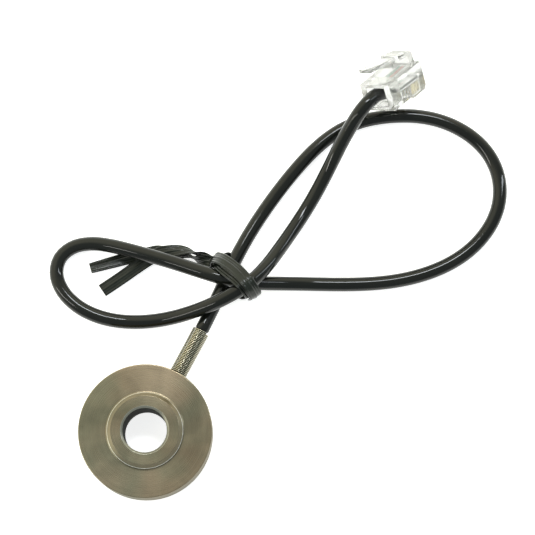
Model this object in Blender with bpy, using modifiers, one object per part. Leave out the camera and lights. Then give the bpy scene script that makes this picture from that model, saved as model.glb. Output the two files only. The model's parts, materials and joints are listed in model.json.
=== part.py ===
"""Through-hole strain gauge load cell with a short round cord, a twist tie and a clear modular plug.

Metres, +Z up. The origin is the centre of the disc's underside, and the cord lies on the plane z = 0.
"""

import math

import bmesh
import bpy
from mathutils import Matrix, Quaternion, Vector

# Clearances between neighbouring pieces
SEAT_GAP = 0.0003
FILM_GAP = 0.0001

# Sensing body: a turned disc with a raised load collar and a through bore
RIM_DIAMETER = 0.028
RIM_THICKNESS = 0.008
COLLAR_DIAMETER = 0.016
COLLAR_RISE = 0.0015
COLLAR_CHAMFER = 0.0008
COLLAR_ROOT_FILLET = 0.00025
BORE_DIAMETER = 0.0092
BORE_CHAMFER = 0.00045
EDGE_BREAK = 0.00018
BODY_STEPS = 72

# Gauge cavity, cut from below and closed by a ring cover
COLUMN_WALL = 0.0016
OUTER_WALL = 0.0022
WEB_THICKNESS = 0.0014
CAVITY_FILLET = 0.0005
COVER_THICKNESS = 0.0008
COVER_RECESS = 0.00015
COVER_LEDGE = 0.0005
COVER_EDGE_BREAK = 0.00012

# Strain gauges on the underside of the web
GAUGE_COUNT = 4
GAUGE_MARGIN = 0.0006
GAUGE_WIDTH = 0.0032
GAUGE_FILM = 0.0001
GRID_FOIL = 0.0001
GRID_LINES = 8
GRID_PITCH = 0.00030
GRID_LINE_WIDTH = 0.00015
GRID_TAB_LENGTH = 0.0008

# Terminal board, its pads and the trimming resistors
BOARD_WIDTH = 0.0066
BOARD_THICKNESS = 0.0008
PAD_DIAMETER = 0.0010
PAD_THICKNESS = 0.00015
PAD_MARGIN = 0.0004
RESISTOR_SIZE = (0.00125, 0.0020, 0.0005)
BRIDGE_WIRE_DIAMETER = 0.0003
BRIDGE_WIRE_DROP = 0.0007

# Cable exit, strain relief spring and clamp ferrule
EXIT_ANGLE = math.radians(62.0)
EXIT_HEIGHT = 0.004
SPRING_WIRE = 0.0003
SPRING_CLEARANCE = 0.000275
SPRING_PITCH = 0.00034
SPRING_OUTSIDE = 0.0105
SPRING_SEAT_DEPTH = 0.0018
SPRING_STEPS = 14
FERRULE_LENGTH = 0.0011
FERRULE_OVERSIZE = 0.0005
LEAD_DIAMETER = 0.0005
LEAD_ROOM = 0.00075

# Cord
CORD_DIAMETER = 0.00305
CORD_NECK_DIAMETER = 0.0025
CORD_POINT_SPACING = 0.0042
CORD_ROUTE = (
    (0.0157, 0.0306, 0.0028),
    (0.0190, 0.0380, 0.0026),
    (0.0241, 0.0469, 0.0016),
    (0.0303, 0.0554, 0.0016),
    (0.0374, 0.0630, 0.0016),
    (0.0457, 0.0678, 0.0016),
    (0.0587, 0.0689, 0.0016),
    (0.0673, 0.0659, 0.0016),
    (0.0740, 0.0597, 0.0016),
    (0.0756, 0.0509, 0.0016),
    (0.0744, 0.0470, 0.0016),
    (0.0701, 0.0405, 0.0016),
    (0.0630, 0.0358, 0.0016),
    (0.0538, 0.0329, 0.0016),
    (0.0432, 0.0320, 0.0017),
    (0.0325, 0.0321, 0.0020),
    (0.0205, 0.0318, 0.0055),
    (0.0165, 0.0325, 0.0062),
    (0.0026, 0.0372, 0.0039),
    (-0.0028, 0.0387, 0.0036),
    (-0.0111, 0.0407, 0.0018),
    (-0.0154, 0.0406, 0.0016),
    (-0.0189, 0.0384, 0.0016),
    (-0.0199, 0.0345, 0.0016),
    (-0.0186, 0.0311, 0.0016),
    (-0.0132, 0.0262, 0.0016),
    (-0.0049, 0.0240, 0.0016),
    (0.0044, 0.0245, 0.0026),
    (0.0137, 0.0268, 0.0073),
    (0.0188, 0.0293, 0.0085),
    (0.0233, 0.0323, 0.0084),
    (0.0258, 0.0360, 0.0064),
    (0.0304, 0.0428, 0.0027),
    (0.0355, 0.0511, 0.0017),
    (0.0379, 0.0554, 0.0025),
    (0.0401, 0.0597, 0.0051),
    (0.0440, 0.0659, 0.0103),
    (0.0453, 0.0676, 0.0117),
    (0.0471, 0.0698, 0.0122),
)

# Modular plug: X runs from its rear face to its nose, Z towards its contacts
PLUG_REAR = (0.0490, 0.0703, 0.0114)
PLUG_HEADING = math.radians(47.0)
PLUG_PITCH = math.radians(34.0)
PLUG_ROLL = math.radians(134.0)
PLUG_LENGTH = 0.0126
PLUG_WIDTH = 0.00765
PLUG_HEIGHT = 0.0066
PLUG_STEP_DEPTH = 0.0006
PLUG_STEP_FROM_NOSE = 0.0053
PLUG_NOSE_CHAMFER = 0.0006
MOUTH_ROOM = 0.0008
MOUTH_OFFSET = -0.0002
PLUG_JACKET_DEPTH = 0.0040
ENTRY_DEPTH = 0.0006
ENTRY_LEAN = (-0.0005, -0.00045)
PLUG_CORE_DIAMETER = 0.00075
PLUG_CORE_PITCH = 0.00102
PLUG_CORE_CLEARANCE = 0.00015
PLUG_CORE_HEIGHT = 0.0001
PLUG_CORE_END_FROM_NOSE = 0.0009
CONTACT_THICKNESS = 0.00035
CONTACT_LENGTH = 0.0030
CONTACT_BELOW_FACE = 0.0005
CONTACT_TOOTH = 0.0006
CONTACT_FROM_NOSE = 0.0009
RELIEF_POCKET_LENGTH = 0.0024
RELIEF_POCKET_WIDTH = 0.0034
RELIEF_POCKET_DEPTH = 0.0003
RELIEF_POCKET_FROM_REAR = 0.0012
LATCH_BASE_WIDTH = 0.0046
LATCH_TAB_WIDTH = 0.0029
LATCH_THICKNESS = 0.0009
LATCH_SETBACK = 0.0001
LATCH_FOOT_LENGTH = 0.0018
LATCH_FOOT_HEIGHT = 0.0023
LATCH_SHOULDER_FROM_NOSE = 0.0052
LATCH_OVERHANG = 0.0019
LATCH_LIFT = 0.0044

# Twist tie: one ribbed ribbon, wound twice round the three strands and twisted on itself
TIE_WIDTH = 0.0028
TIE_EDGE_THICKNESS = 0.0004
TIE_CORE_THICKNESS = 0.0007
TIE_RING_START = (0.0147, 0.0372)
TIE_RING_HEADING = math.radians(-41.0)
TIE_RING = (
    (0.0043, -0.0018, 0.0005, 0),
    (0.0075, -0.0018, 0.0009, 0),
    (0.0095, -0.0015, 0.0024, -6),
    (0.0106, -0.0011, 0.0044, -20),
    (0.0110, -0.0010, 0.0066, -18),
    (0.0110, -0.0010, 0.0092, -10),
    (0.0090, -0.0011, 0.0112, 5),
    (0.0068, -0.0012, 0.0109, 12),
    (0.0046, -0.0012, 0.0093, 12),
    (0.0019, -0.0010, 0.0075, 6),
    (0.0006, -0.0004, 0.0053, 0),
    (0.0005, 0.0009, 0.0032, 0),
    (0.0014, 0.0018, 0.0012, 0),
    (0.0043, 0.0013, 0.0005, 0),
    (0.0078, 0.0011, 0.0005, 0),
    (0.0105, 0.0005, 0.0012, -4),
    (0.0114, -0.0004, 0.0036, -20),
    (0.0119, -0.0005, 0.0064, -18),
    (0.0120, -0.0004, 0.0095, -10),
    (0.0096, 0.0001, 0.0121, 5),
    (0.0069, 0.0010, 0.0116, 14),
    (0.0042, 0.0014, 0.0100, 14),
    (0.0012, 0.0013, 0.0078, 8),
    (-0.0008, 0.0004, 0.0056, 0),
)
TIE_TWIST_START = (0.0126, 0.0369, 0.0021)
TIE_TWIST_END = (0.0040, 0.0402, 0.0019)
TIE_TWIST_TURNS = 1.5
TIE_LAYER_OFFSET = 0.0005
TIE_WIDE_TAIL = (
    (0.0012, 0.0391, 0.0018),
    (-0.0008, 0.0374, 0.0014),
    (-0.0030, 0.0355, 0.0010),
    (-0.0062, 0.0334, 0.0005),
    (-0.0100, 0.0309, 0.0005),
)
TIE_NARROW_TAIL = (
    (0.0008, 0.0401, 0.0006),
    (-0.0034, 0.0389, 0.0006),
    (-0.0080, 0.0372, 0.0008),
    (-0.0124, 0.0358, 0.0010),
)
TIE_NARROW_TAIL_ROLL = math.radians(30.0)

RIM_RADIUS = RIM_DIAMETER / 2
COLLAR_RADIUS = COLLAR_DIAMETER / 2
BORE_RADIUS = BORE_DIAMETER / 2
BODY_HEIGHT = RIM_THICKNESS + COLLAR_RISE
CAVITY_INNER = BORE_RADIUS + COLUMN_WALL
CAVITY_OUTER = RIM_RADIUS - OUTER_WALL
CAVITY_TOP = RIM_THICKNESS - WEB_THICKNESS
CAVITY_MIDDLE = (CAVITY_INNER + CAVITY_OUTER) / 2
CAVITY_WIDTH = CAVITY_OUTER - CAVITY_INNER
GAUGE_LENGTH = CAVITY_WIDTH - 2 * GAUGE_MARGIN
GRID_LENGTH = GAUGE_LENGTH / 2
BRIDGE_RADIUS = CAVITY_MIDDLE + GAUGE_LENGTH / 4
COVER_SEAT = COVER_RECESS + COVER_THICKNESS + SEAT_GAP
SPRING_BORE = CORD_NECK_DIAMETER + 2 * SPRING_CLEARANCE
SPRING_RADIUS = SPRING_BORE / 2 + SPRING_WIRE / 2
SPRING_DIAMETER = SPRING_BORE + 2 * SPRING_WIRE
SPRING_START = RIM_RADIUS - SPRING_SEAT_DEPTH
SPRING_END = RIM_RADIUS + SPRING_OUTSIDE
EXIT_DIAMETER = SPRING_DIAMETER + 2 * SEAT_GAP
FERRULE_DIAMETER = EXIT_DIAMETER + FERRULE_OVERSIZE
FERRULE_OUTER = math.sqrt(CAVITY_OUTER**2 - (FERRULE_DIAMETER / 2) ** 2) - SEAT_GAP
FERRULE_INNER = FERRULE_OUTER - FERRULE_LENGTH
CORD_START = FERRULE_INNER - SEAT_GAP
BOARD_INNER = CAVITY_INNER + 2 * SEAT_GAP
BOARD_OUTER = FERRULE_INNER - LEAD_ROOM
BOARD_RADIAL = BOARD_OUTER - BOARD_INNER
BOARD_MIDDLE = (BOARD_INNER + BOARD_OUTER) / 2
PAD_PITCH = (BOARD_WIDTH - PAD_DIAMETER - 2 * PAD_MARGIN) / 3
BOARD_TOP = CAVITY_TOP - SEAT_GAP
BOARD_BOTTOM = BOARD_TOP - BOARD_THICKNESS
MOUTH_SIZE = CORD_DIAMETER + 2 * MOUTH_ROOM
CONTACT_MIDDLE = PLUG_LENGTH - CONTACT_FROM_NOSE - CONTACT_LENGTH / 2


def clear_scene():
    """Remove the objects of the scene."""
    for obj in list(bpy.data.objects):
        bpy.data.objects.remove(obj, do_unlink=True)


def new_collection(name, helper=False):
    collection = bpy.data.collections.new(name)
    bpy.context.scene.collection.children.link(collection)
    collection.hide_render = helper
    return collection


def new_material(name, colour, roughness, metallic=0.0, transmission=0.0):
    material = bpy.data.materials.new(name)
    material.use_nodes = True
    shader = material.node_tree.nodes["Principled BSDF"]
    shader.inputs["Base Color"].default_value = (*colour, 1.0)
    shader.inputs["Roughness"].default_value = roughness
    shader.inputs["Metallic"].default_value = metallic
    shader.inputs["Transmission Weight"].default_value = transmission
    return material


def add_object(name, data, material=None, collection=None):
    obj = bpy.data.objects.new(name, data)
    (collection or PARTS).objects.link(obj)
    if material:
        data.materials.append(material)
    return obj


def add_cutter(name, mesh):
    """An unrendered helper that a Boolean reads."""
    cutter = add_object(name, mesh, collection=CUTTERS)
    cutter.hide_render = True
    cutter.display_type = "WIRE"
    return cutter


def settle(obj, sharp_angle=35.0):
    """Give the object its evaluated mesh, so that later cuts and shading act on real faces."""
    bpy.context.view_layer.update()
    graph = bpy.context.evaluated_depsgraph_get()
    mesh = bpy.data.meshes.new_from_object(obj.evaluated_get(graph))
    form = bmesh.new()
    form.from_mesh(mesh)
    bmesh.ops.remove_doubles(form, verts=form.verts, dist=1e-7)
    bmesh.ops.recalc_face_normals(form, faces=form.faces)
    form.to_mesh(mesh)
    form.free()
    mesh.shade_smooth()
    mesh.set_sharp_from_angle(angle=math.radians(sharp_angle))
    materials = list(obj.data.materials)
    name, matrix, collection = obj.name, obj.matrix_world.copy(), obj.users_collection[0]
    bpy.data.objects.remove(obj, do_unlink=True)
    settled = bpy.data.objects.new(name, mesh)
    collection.objects.link(settled)
    settled.matrix_world = matrix
    if materials and not mesh.materials:
        mesh.materials.append(materials[0])
    return settled


def boolean(obj, cutter, operation="DIFFERENCE"):
    modifier = obj.modifiers.new(cutter.name, "BOOLEAN")
    modifier.operation = operation
    modifier.solver = "EXACT"
    modifier.object = cutter


def round_edges(obj, width, segments=2, angle=40.0):
    modifier = obj.modifiers.new("edges", "BEVEL")
    modifier.width = width
    modifier.segments = segments
    modifier.limit_method = "ANGLE"
    modifier.angle_limit = math.radians(angle)


def box_mesh(name, size, centre=(0.0, 0.0, 0.0)):
    form = bmesh.new()
    bmesh.ops.create_cube(form, size=1.0)
    bmesh.ops.scale(form, vec=size, verts=form.verts)
    bmesh.ops.translate(form, vec=centre, verts=form.verts)
    mesh = bpy.data.meshes.new(name)
    form.to_mesh(mesh)
    form.free()
    return mesh


def cylinder_mesh(name, diameter, start, end, segments=32):
    """A closed cylinder between two points."""
    start, end = Vector(start), Vector(end)
    form = bmesh.new()
    bmesh.ops.create_cone(
        form,
        cap_ends=True,
        segments=segments,
        radius1=diameter / 2,
        radius2=diameter / 2,
        depth=(end - start).length,
    )
    turn = (end - start).to_track_quat("Z", "Y").to_matrix().to_4x4()
    bmesh.ops.transform(form, matrix=Matrix.Translation((start + end) / 2) @ turn, verts=form.verts)
    mesh = bpy.data.meshes.new(name)
    form.to_mesh(mesh)
    form.free()
    return mesh


def arc(centre, radius, start, end, steps=3):
    """Points of a round corner in a profile, angles in degrees."""
    angles = [math.radians(start + (end - start) * i / steps) for i in range(steps + 1)]
    return [(centre[0] + radius * math.cos(a), centre[1] + radius * math.sin(a)) for a in angles]


def turned(name, profile, material, steps=BODY_STEPS):
    """A closed profile of (radius, height) points, turned round Z by a Screw modifier."""
    mesh = bpy.data.meshes.new(name)
    points = [(radius, 0.0, height) for radius, height in profile]
    edges = [(i, (i + 1) % len(points)) for i in range(len(points))]
    mesh.from_pydata(points, edges, [])
    obj = add_object(name, mesh, material)
    screw = obj.modifiers.new("turn", "SCREW")
    screw.axis = "Z"
    screw.angle = math.tau
    screw.steps = steps
    screw.render_steps = steps
    screw.use_merge_vertices = True
    screw.merge_threshold = 1e-6
    return obj


def flat_plate(name, outline, thickness, material):
    """A plate cut to a flat outline: a filled 2D curve with thickness, centred on z = 0."""
    curve = bpy.data.curves.new(name, "CURVE")
    curve.dimensions = "2D"
    curve.fill_mode = "BOTH"
    curve.extrude = thickness / 2
    spline = curve.splines.new("POLY")
    spline.points.add(len(outline) - 1)
    for point, (x, y) in zip(spline.points, outline):
        point.co = (x, y, 0.0, 1.0)
    spline.use_cyclic_u = True
    return settle(add_object(name, curve, material))


def tube(name, points, diameter, material, bevel_resolution=1, factors=None):
    """A round wire or cable along points, with filled caps. factors thin it point by point."""
    curve = bpy.data.curves.new(name, "CURVE")
    curve.dimensions = "3D"
    curve.bevel_depth = diameter / 2
    curve.bevel_resolution = bevel_resolution
    curve.use_fill_caps = True
    spline = curve.splines.new("POLY")
    spline.points.add(len(points) - 1)
    for i, (target, point) in enumerate(zip(spline.points, points)):
        target.co = (*point, 1.0)
        target.radius = factors[i] if factors else 1.0
    return add_object(name, curve, material)


def smooth_curve(points, closed=False, steps=12):
    """Points of a Catmull-Rom curve through the given points, as vectors of their own size."""
    points = [Vector(point) for point in points]
    count = len(points)
    if closed:
        at = lambda i: points[i % count]
        spans = range(count)
    else:
        at = lambda i: points[min(max(i, 0), count - 1)]
        spans = range(count - 1)
    curve = []
    for i in spans:
        a, b, c, d = at(i - 1), at(i), at(i + 1), at(i + 2)
        for step in range(steps):
            t = step / steps
            curve.append(
                0.5
                * (
                    2 * b
                    + (c - a) * t
                    + (2 * a - 5 * b + 4 * c - d) * t**2
                    + (3 * b - a - 3 * c + d) * t**3
                )
            )
    if not closed:
        curve.append(points[-1].copy())
    return curve


def evenly(points, spacing):
    """The curve's points again, at equal distances near the spacing."""
    lengths = [0.0]
    for a, b in zip(points, points[1:]):
        lengths.append(lengths[-1] + (b - a).length)
    count = max(2, round(lengths[-1] / spacing))
    result = []
    span = 0
    for i in range(count + 1):
        target = lengths[-1] * i / count
        while span < len(points) - 2 and lengths[span + 1] < target:
            span += 1
        share = (target - lengths[span]) / max(lengths[span + 1] - lengths[span], 1e-9)
        result.append(points[span].lerp(points[span + 1], min(max(share, 0.0), 1.0)))
    return result


def polar(radius, angle, height):
    return Vector((radius * math.cos(angle), radius * math.sin(angle), height))


def exit_point(radius, sideways=0.0, height=EXIT_HEIGHT):
    """A point given by its distance out along the cable exit, and sideways from it."""
    side = EXIT_ANGLE + math.pi / 2
    return polar(radius, EXIT_ANGLE, height) + sideways * polar(1.0, side, 0.0)


def place_on_web(obj, angle, radius, top):
    """Turn a plate built at the origin to lie under the web, its length along the radius."""
    obj.rotation_euler = (0.0, 0.0, angle)
    obj.location = polar(radius, angle, top)
    return obj


def make_sensing_body():
    """The elastic element: rim, thin web, load column and raised collar, turned from one bar."""
    collar_root = RIM_THICKNESS + COLLAR_ROOT_FILLET
    seat_outer = CAVITY_OUTER + COVER_LEDGE
    seat_inner = CAVITY_INNER - COVER_LEDGE
    roof = CAVITY_TOP - CAVITY_FILLET
    profile = [
        (COLLAR_RADIUS - COLLAR_CHAMFER, BODY_HEIGHT),
        (COLLAR_RADIUS, BODY_HEIGHT - COLLAR_CHAMFER),
        *arc((COLLAR_RADIUS + COLLAR_ROOT_FILLET, collar_root), COLLAR_ROOT_FILLET, 180, 270, 2),
        (RIM_RADIUS - EDGE_BREAK, RIM_THICKNESS),
        (RIM_RADIUS, RIM_THICKNESS - EDGE_BREAK),
        (RIM_RADIUS, EDGE_BREAK),
        (RIM_RADIUS - EDGE_BREAK, 0.0),
        (seat_outer, 0.0),
        (seat_outer, COVER_SEAT),
        (CAVITY_OUTER, COVER_SEAT),
        *arc((CAVITY_OUTER - CAVITY_FILLET, roof), CAVITY_FILLET, 0, 90),
        *arc((CAVITY_INNER + CAVITY_FILLET, roof), CAVITY_FILLET, 90, 180),
        (CAVITY_INNER, COVER_SEAT),
        (seat_inner, COVER_SEAT),
        (seat_inner, 0.0),
        (BORE_RADIUS + EDGE_BREAK, 0.0),
        (BORE_RADIUS, EDGE_BREAK),
        (BORE_RADIUS, BODY_HEIGHT - BORE_CHAMFER),
        (BORE_RADIUS + BORE_CHAMFER, BODY_HEIGHT),
    ]
    body = turned("sensing_body", profile, STEEL)
    hole = cylinder_mesh(
        "exit_hole",
        EXIT_DIAMETER,
        exit_point(FERRULE_OUTER),
        exit_point(RIM_RADIUS + EXIT_DIAMETER),
        24,
    )
    boolean(body, add_cutter("exit_hole", hole))
    return settle(body)


def make_bottom_cover():
    """The ring plate that closes the gauge cavity, set just inside the base plane."""
    outer = CAVITY_OUTER + COVER_LEDGE - SEAT_GAP
    inner = CAVITY_INNER - COVER_LEDGE + SEAT_GAP
    top = COVER_RECESS + COVER_THICKNESS
    profile = [
        (outer, top),
        (outer, COVER_RECESS + COVER_EDGE_BREAK),
        (outer - COVER_EDGE_BREAK, COVER_RECESS),
        (inner + COVER_EDGE_BREAK, COVER_RECESS),
        (inner, COVER_RECESS + COVER_EDGE_BREAK),
        (inner, top),
    ]
    return settle(turned("bottom_cover", profile, COVER_STEEL))


def strip_outline(path, width):
    """The outline of a strip of even width along a path whose corners are right angles."""
    half = width / 2
    left, right = [], []
    for i, here in enumerate(path):
        before = path[i - 1] if i else None
        after = path[i + 1] if i + 1 < len(path) else None
        ways = []
        for a, b in ((before, here), (here, after)):
            if a and b:
                ways.append((Vector(b) - Vector(a)).normalized())
        if len(ways) == 1:
            way = ways[0]
            side = Vector((-way.y, way.x)) * half
        else:
            side = (Vector((-ways[0].y, ways[0].x)) + Vector((-ways[1].y, ways[1].x))) * half
        left.append(tuple(Vector(here) + side))
        right.append(tuple(Vector(here) - side))
    return left + right[::-1]


def grid_path():
    """The meander of the measuring grid, with a solder tab at each end."""
    low = -GRID_LENGTH / 2 + GRID_TAB_LENGTH / 2
    high = low + GRID_LENGTH
    first = -GRID_PITCH * (GRID_LINES - 1) / 2
    path = [(low - GRID_TAB_LENGTH, first)]
    for line in range(GRID_LINES):
        across = first + line * GRID_PITCH
        ends = (low, high) if line % 2 == 0 else (high, low)
        start = () if line == 0 else ((ends[0], across),)
        path += [*start, (ends[1], across)]
    path.append((low - GRID_TAB_LENGTH, first + (GRID_LINES - 1) * GRID_PITCH))
    return [(-x, y) for x, y in path]


def make_gauges():
    """Four foil gauges: a carrier film bonded to the web, and its metal grid."""
    for number in range(GAUGE_COUNT):
        angle = EXIT_ANGLE + math.pi / 4 + number * math.tau / GAUGE_COUNT
        film_top = CAVITY_TOP - FILM_GAP
        mesh = box_mesh("film", (GAUGE_LENGTH, GAUGE_WIDTH, GAUGE_FILM))
        film = add_object(f"gauge_film_{number + 1}", mesh, FILM)
        place_on_web(film, angle, CAVITY_MIDDLE, film_top - GAUGE_FILM / 2)
        outline = strip_outline(grid_path(), GRID_LINE_WIDTH)
        grid = flat_plate(f"gauge_grid_{number + 1}", outline, GRID_FOIL, FOIL)
        grid_top = film_top - GAUGE_FILM - FILM_GAP
        place_on_web(grid, angle, CAVITY_MIDDLE, grid_top - GRID_FOIL / 2)


def pad_offset(number):
    """Sideways place of one of the four terminals, counted from 0."""
    return (number - 1.5) * PAD_PITCH


def make_terminal_board():
    """The small board inside the cable exit, with one solder pad for each lead."""
    mesh = box_mesh("board", (BOARD_RADIAL, BOARD_WIDTH, BOARD_THICKNESS))
    board = add_object("terminal_board", mesh, BOARD)
    place_on_web(board, EXIT_ANGLE, BOARD_MIDDLE, BOARD_TOP - BOARD_THICKNESS / 2)
    top = BOARD_BOTTOM - FILM_GAP
    for number in range(4):
        start = exit_point(BOARD_MIDDLE, pad_offset(number), top - PAD_THICKNESS)
        end = exit_point(BOARD_MIDDLE, pad_offset(number), top)
        mesh = cylinder_mesh("pad", PAD_DIAMETER, start, end, 16)
        add_object(f"solder_pad_{number + 1}", mesh, BRASS)


def make_resistors():
    """Two trimming resistors on the web, across from each other between the gauges."""
    middle = (CAVITY_INNER + BRIDGE_RADIUS) / 2
    for number, turn in enumerate((math.pi / 2, -math.pi / 2)):
        mesh = box_mesh("resistor", RESISTOR_SIZE)
        resistor = add_object(f"trim_resistor_{number + 1}", mesh, RESISTOR)
        top = CAVITY_TOP - SEAT_GAP - RESISTOR_SIZE[2] / 2
        place_on_web(resistor, EXIT_ANGLE + turn, middle, top)
        round_edges(resistor, RESISTOR_SIZE[2] / 6, 1)


def make_bridge_wires():
    """Fine wires that join the gauges into a ring and end at the board's sides."""
    height = CAVITY_TOP - BRIDGE_WIRE_DROP - BRIDGE_WIRE_DIAMETER / 2
    gauge_step = math.tau / GAUGE_COUNT
    inset = math.radians(7.0)
    board_edge = math.atan2(BOARD_WIDTH / 2 + 2 * SEAT_GAP, BRIDGE_RADIUS)
    first_gauge = EXIT_ANGLE + gauge_step / 2
    spans = [(EXIT_ANGLE + board_edge, first_gauge - inset)]
    for number in range(GAUGE_COUNT - 1):
        start = first_gauge + number * gauge_step
        spans.append((start + inset, start + gauge_step - inset))
    spans.append((EXIT_ANGLE - gauge_step / 2 + inset, EXIT_ANGLE - board_edge))
    for number, (start, end) in enumerate(spans):
        steps = max(3, round(math.degrees(end - start) / 8))
        angles = [start + (end - start) * i / steps for i in range(steps + 1)]
        points = [polar(BRIDGE_RADIUS, angle, height) for angle in angles]
        tube(f"bridge_wire_{number + 1}", points, BRIDGE_WIRE_DIAMETER, COPPER)


def make_leads():
    """The cable's four cores, from its end in the cavity to the pads of the board."""
    names = ("red", "black", "green", "white")
    inner_end = CORD_START - SEAT_GAP
    below_pad = BOARD_BOTTOM - FILM_GAP - PAD_THICKNESS - FILM_GAP - LEAD_DIAMETER / 2
    spread = CORD_NECK_DIAMETER / 4
    reach = BOARD_RADIAL / 5
    for number, name in enumerate(names):
        out = pad_offset(number)
        start_side = spread * (1 if out > 0 else -1)
        start_height = EXIT_HEIGHT + spread * (1 if abs(out) < PAD_PITCH else -1)
        corners = [
            exit_point(inner_end, start_side, start_height),
            exit_point(inner_end - reach, start_side, start_height),
            exit_point(BOARD_MIDDLE + reach, out, below_pad),
            exit_point(BOARD_MIDDLE - reach, out, below_pad),
        ]
        tube(f"lead_{name}", smooth_curve(corners, steps=4), LEAD_DIAMETER, CORE_COLOURS[name])


def make_ferrule():
    """The crimped ring that keeps the cable from being pulled out through its hole."""
    outer = FERRULE_DIAMETER / 2
    inner = CORD_NECK_DIAMETER / 2 + SEAT_GAP
    half = FERRULE_LENGTH / 2
    profile = [(outer, half), (outer, -half), (inner, -half), (inner, half)]
    ferrule = settle(turned("cable_ferrule", profile, BRASS, 24))
    ferrule.matrix_world = exit_frame((FERRULE_OUTER + FERRULE_INNER) / 2)
    return ferrule


def exit_frame(radius):
    """A frame on the exit's axis with its Z pointing outwards."""
    turn = polar(1.0, EXIT_ANGLE, 0.0).to_track_quat("Z", "Y").to_matrix().to_4x4()
    return Matrix.Translation(exit_point(radius)) @ turn


def make_spring():
    """The strain relief: a wire wound close, turn beside turn, from inside the rim outwards."""
    frame = exit_frame(SPRING_START + SPRING_WIRE / 2)
    turns = (SPRING_END - SPRING_START - SPRING_WIRE) / SPRING_PITCH
    count = round(turns * SPRING_STEPS)
    points = []
    for i in range(count + 1):
        angle = math.tau * turns * i / count
        rise = SPRING_PITCH * turns * i / count
        ring = (SPRING_RADIUS * math.cos(angle), SPRING_RADIUS * math.sin(angle), rise)
        points.append(frame @ Vector(ring))
    spring = tube("strain_relief_spring", points, SPRING_WIRE, SPRING_STEEL, 0)
    return settle(spring)


def plug_frame():
    """The plug's frame: heading and pitch aim X along the plug, roll turns it about X."""
    turn = (
        Matrix.Rotation(PLUG_HEADING, 4, "Z")
        @ Matrix.Rotation(PLUG_PITCH, 4, "Y")
        @ Matrix.Rotation(PLUG_ROLL, 4, "X")
    )
    return Matrix.Translation(PLUG_REAR) @ turn


def make_cord():
    """One round cord: thin where the spring grips it, then along its route into the plug."""
    frame = plug_frame()
    side, height = ENTRY_LEAN
    entry = frame @ Vector((ENTRY_DEPTH, side, MOUTH_OFFSET + height))
    end = frame @ Vector((PLUG_JACKET_DEPTH, 0.0, PLUG_CORE_HEIGHT))
    free_start = exit_point(SPRING_END + SEAT_GAP)
    route = [free_start, *map(Vector, CORD_ROUTE), entry, end]
    free = evenly(smooth_curve(route), CORD_POINT_SPACING)
    neck = [exit_point(CORD_START), exit_point(SPRING_END)]
    thin = CORD_NECK_DIAMETER / CORD_DIAMETER
    factors = [thin] * len(neck) + [1.0] * len(free)
    return tube("cable", neck + free, CORD_DIAMETER, JACKET, 2, factors)


def loft(name, stations, material):
    """One closed skin through a row of equal sections, with a flat cap at each end."""
    form = bmesh.new()
    rings = [[form.verts.new(point) for point in ring] for ring in stations]
    for low, high in zip(rings, rings[1:]):
        for i in range(len(low)):
            j = (i + 1) % len(low)
            form.faces.new((low[i], low[j], high[j], high[i]))
    form.faces.new(rings[0][::-1])
    form.faces.new(rings[-1])
    bmesh.ops.recalc_face_normals(form, faces=form.faces)
    mesh = bpy.data.meshes.new(name)
    form.to_mesh(mesh)
    form.free()
    mesh.shade_smooth()
    mesh.set_sharp_from_angle(angle=math.radians(50))
    return add_object(name, mesh, material)


def tie_section():
    """The ribbon's section: thin edges and a thicker middle over its wire, as (across, out)."""
    half, edge, core = TIE_WIDTH / 2, TIE_EDGE_THICKNESS / 2, TIE_CORE_THICKNESS / 2
    shoulder = 0.4 * half
    upper = [(half, edge), (shoulder, edge), (0.0, core), (-shoulder, edge), (-half, edge)]
    return upper + [(across, -out) for across, out in reversed(upper)]


def tie_ring():
    """Places and outward directions of the ribbon along its turns round the strands."""
    along = Vector((math.cos(TIE_RING_HEADING), math.sin(TIE_RING_HEADING), 0.0))
    axis = Vector((-along.y, along.x, 0.0))
    start = Vector((*TIE_RING_START, 0.0))
    points = [(u, v, z, math.radians(roll)) for u, v, z, roll in TIE_RING]
    path = smooth_curve(points, steps=2)
    stations = []
    for i, (u, v, z, roll) in enumerate(path):
        before, after = path[max(i - 1, 0)], path[min(i + 1, len(path) - 1)]
        way = Vector((after[0] - before[0], after[2] - before[2])).normalized()
        place = start + along * u + axis * v + Vector((0.0, 0.0, z))
        normal = along * way.y + Vector((0.0, 0.0, -way.x))
        stations.append((place, normal * math.cos(roll) + axis * math.sin(roll), None))
    return stations


def tie_bridge(before, after, steps=6):
    """Stations that carry the ribbon smoothly from the end of one stretch to the next.

    Its outward direction is carried along the bend, and any turn left over is shared out.
    """
    a_back, (a, a_out, a_way) = before[-2][0], before[-1]
    (b, b_out, b_way), b_ahead = after[0], after[1][0]
    reach = (b - a).length
    a_way = a_way or (a - a_back).normalized()
    b_way = b_way or (b_ahead - b).normalized()
    places = []
    for i in range(steps + 1):
        t = i / steps
        places.append(
            a * (2 * t**3 - 3 * t**2 + 1)
            + a_way * reach * (t**3 - 2 * t**2 + t)
            + b * (3 * t**2 - 2 * t**3)
            + b_way * reach * (t**3 - t**2)
        )
    ways = [a_way]
    for i in range(1, steps):
        ways.append((places[i + 1] - places[i - 1]).normalized())
    ways.append(b_way)
    outs = [a_out]
    for old, new in zip(ways, ways[1:]):
        outs.append(old.rotation_difference(new) @ outs[-1])
    last = outs[-1]
    left_over = math.atan2(last.cross(b_out).dot(b_way), last.dot(b_out))
    stations = []
    for i in range(1, steps):
        turn = Quaternion(ways[i], left_over * i / steps)
        stations.append((places[i], turn @ outs[i], ways[i]))
    return stations


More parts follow.
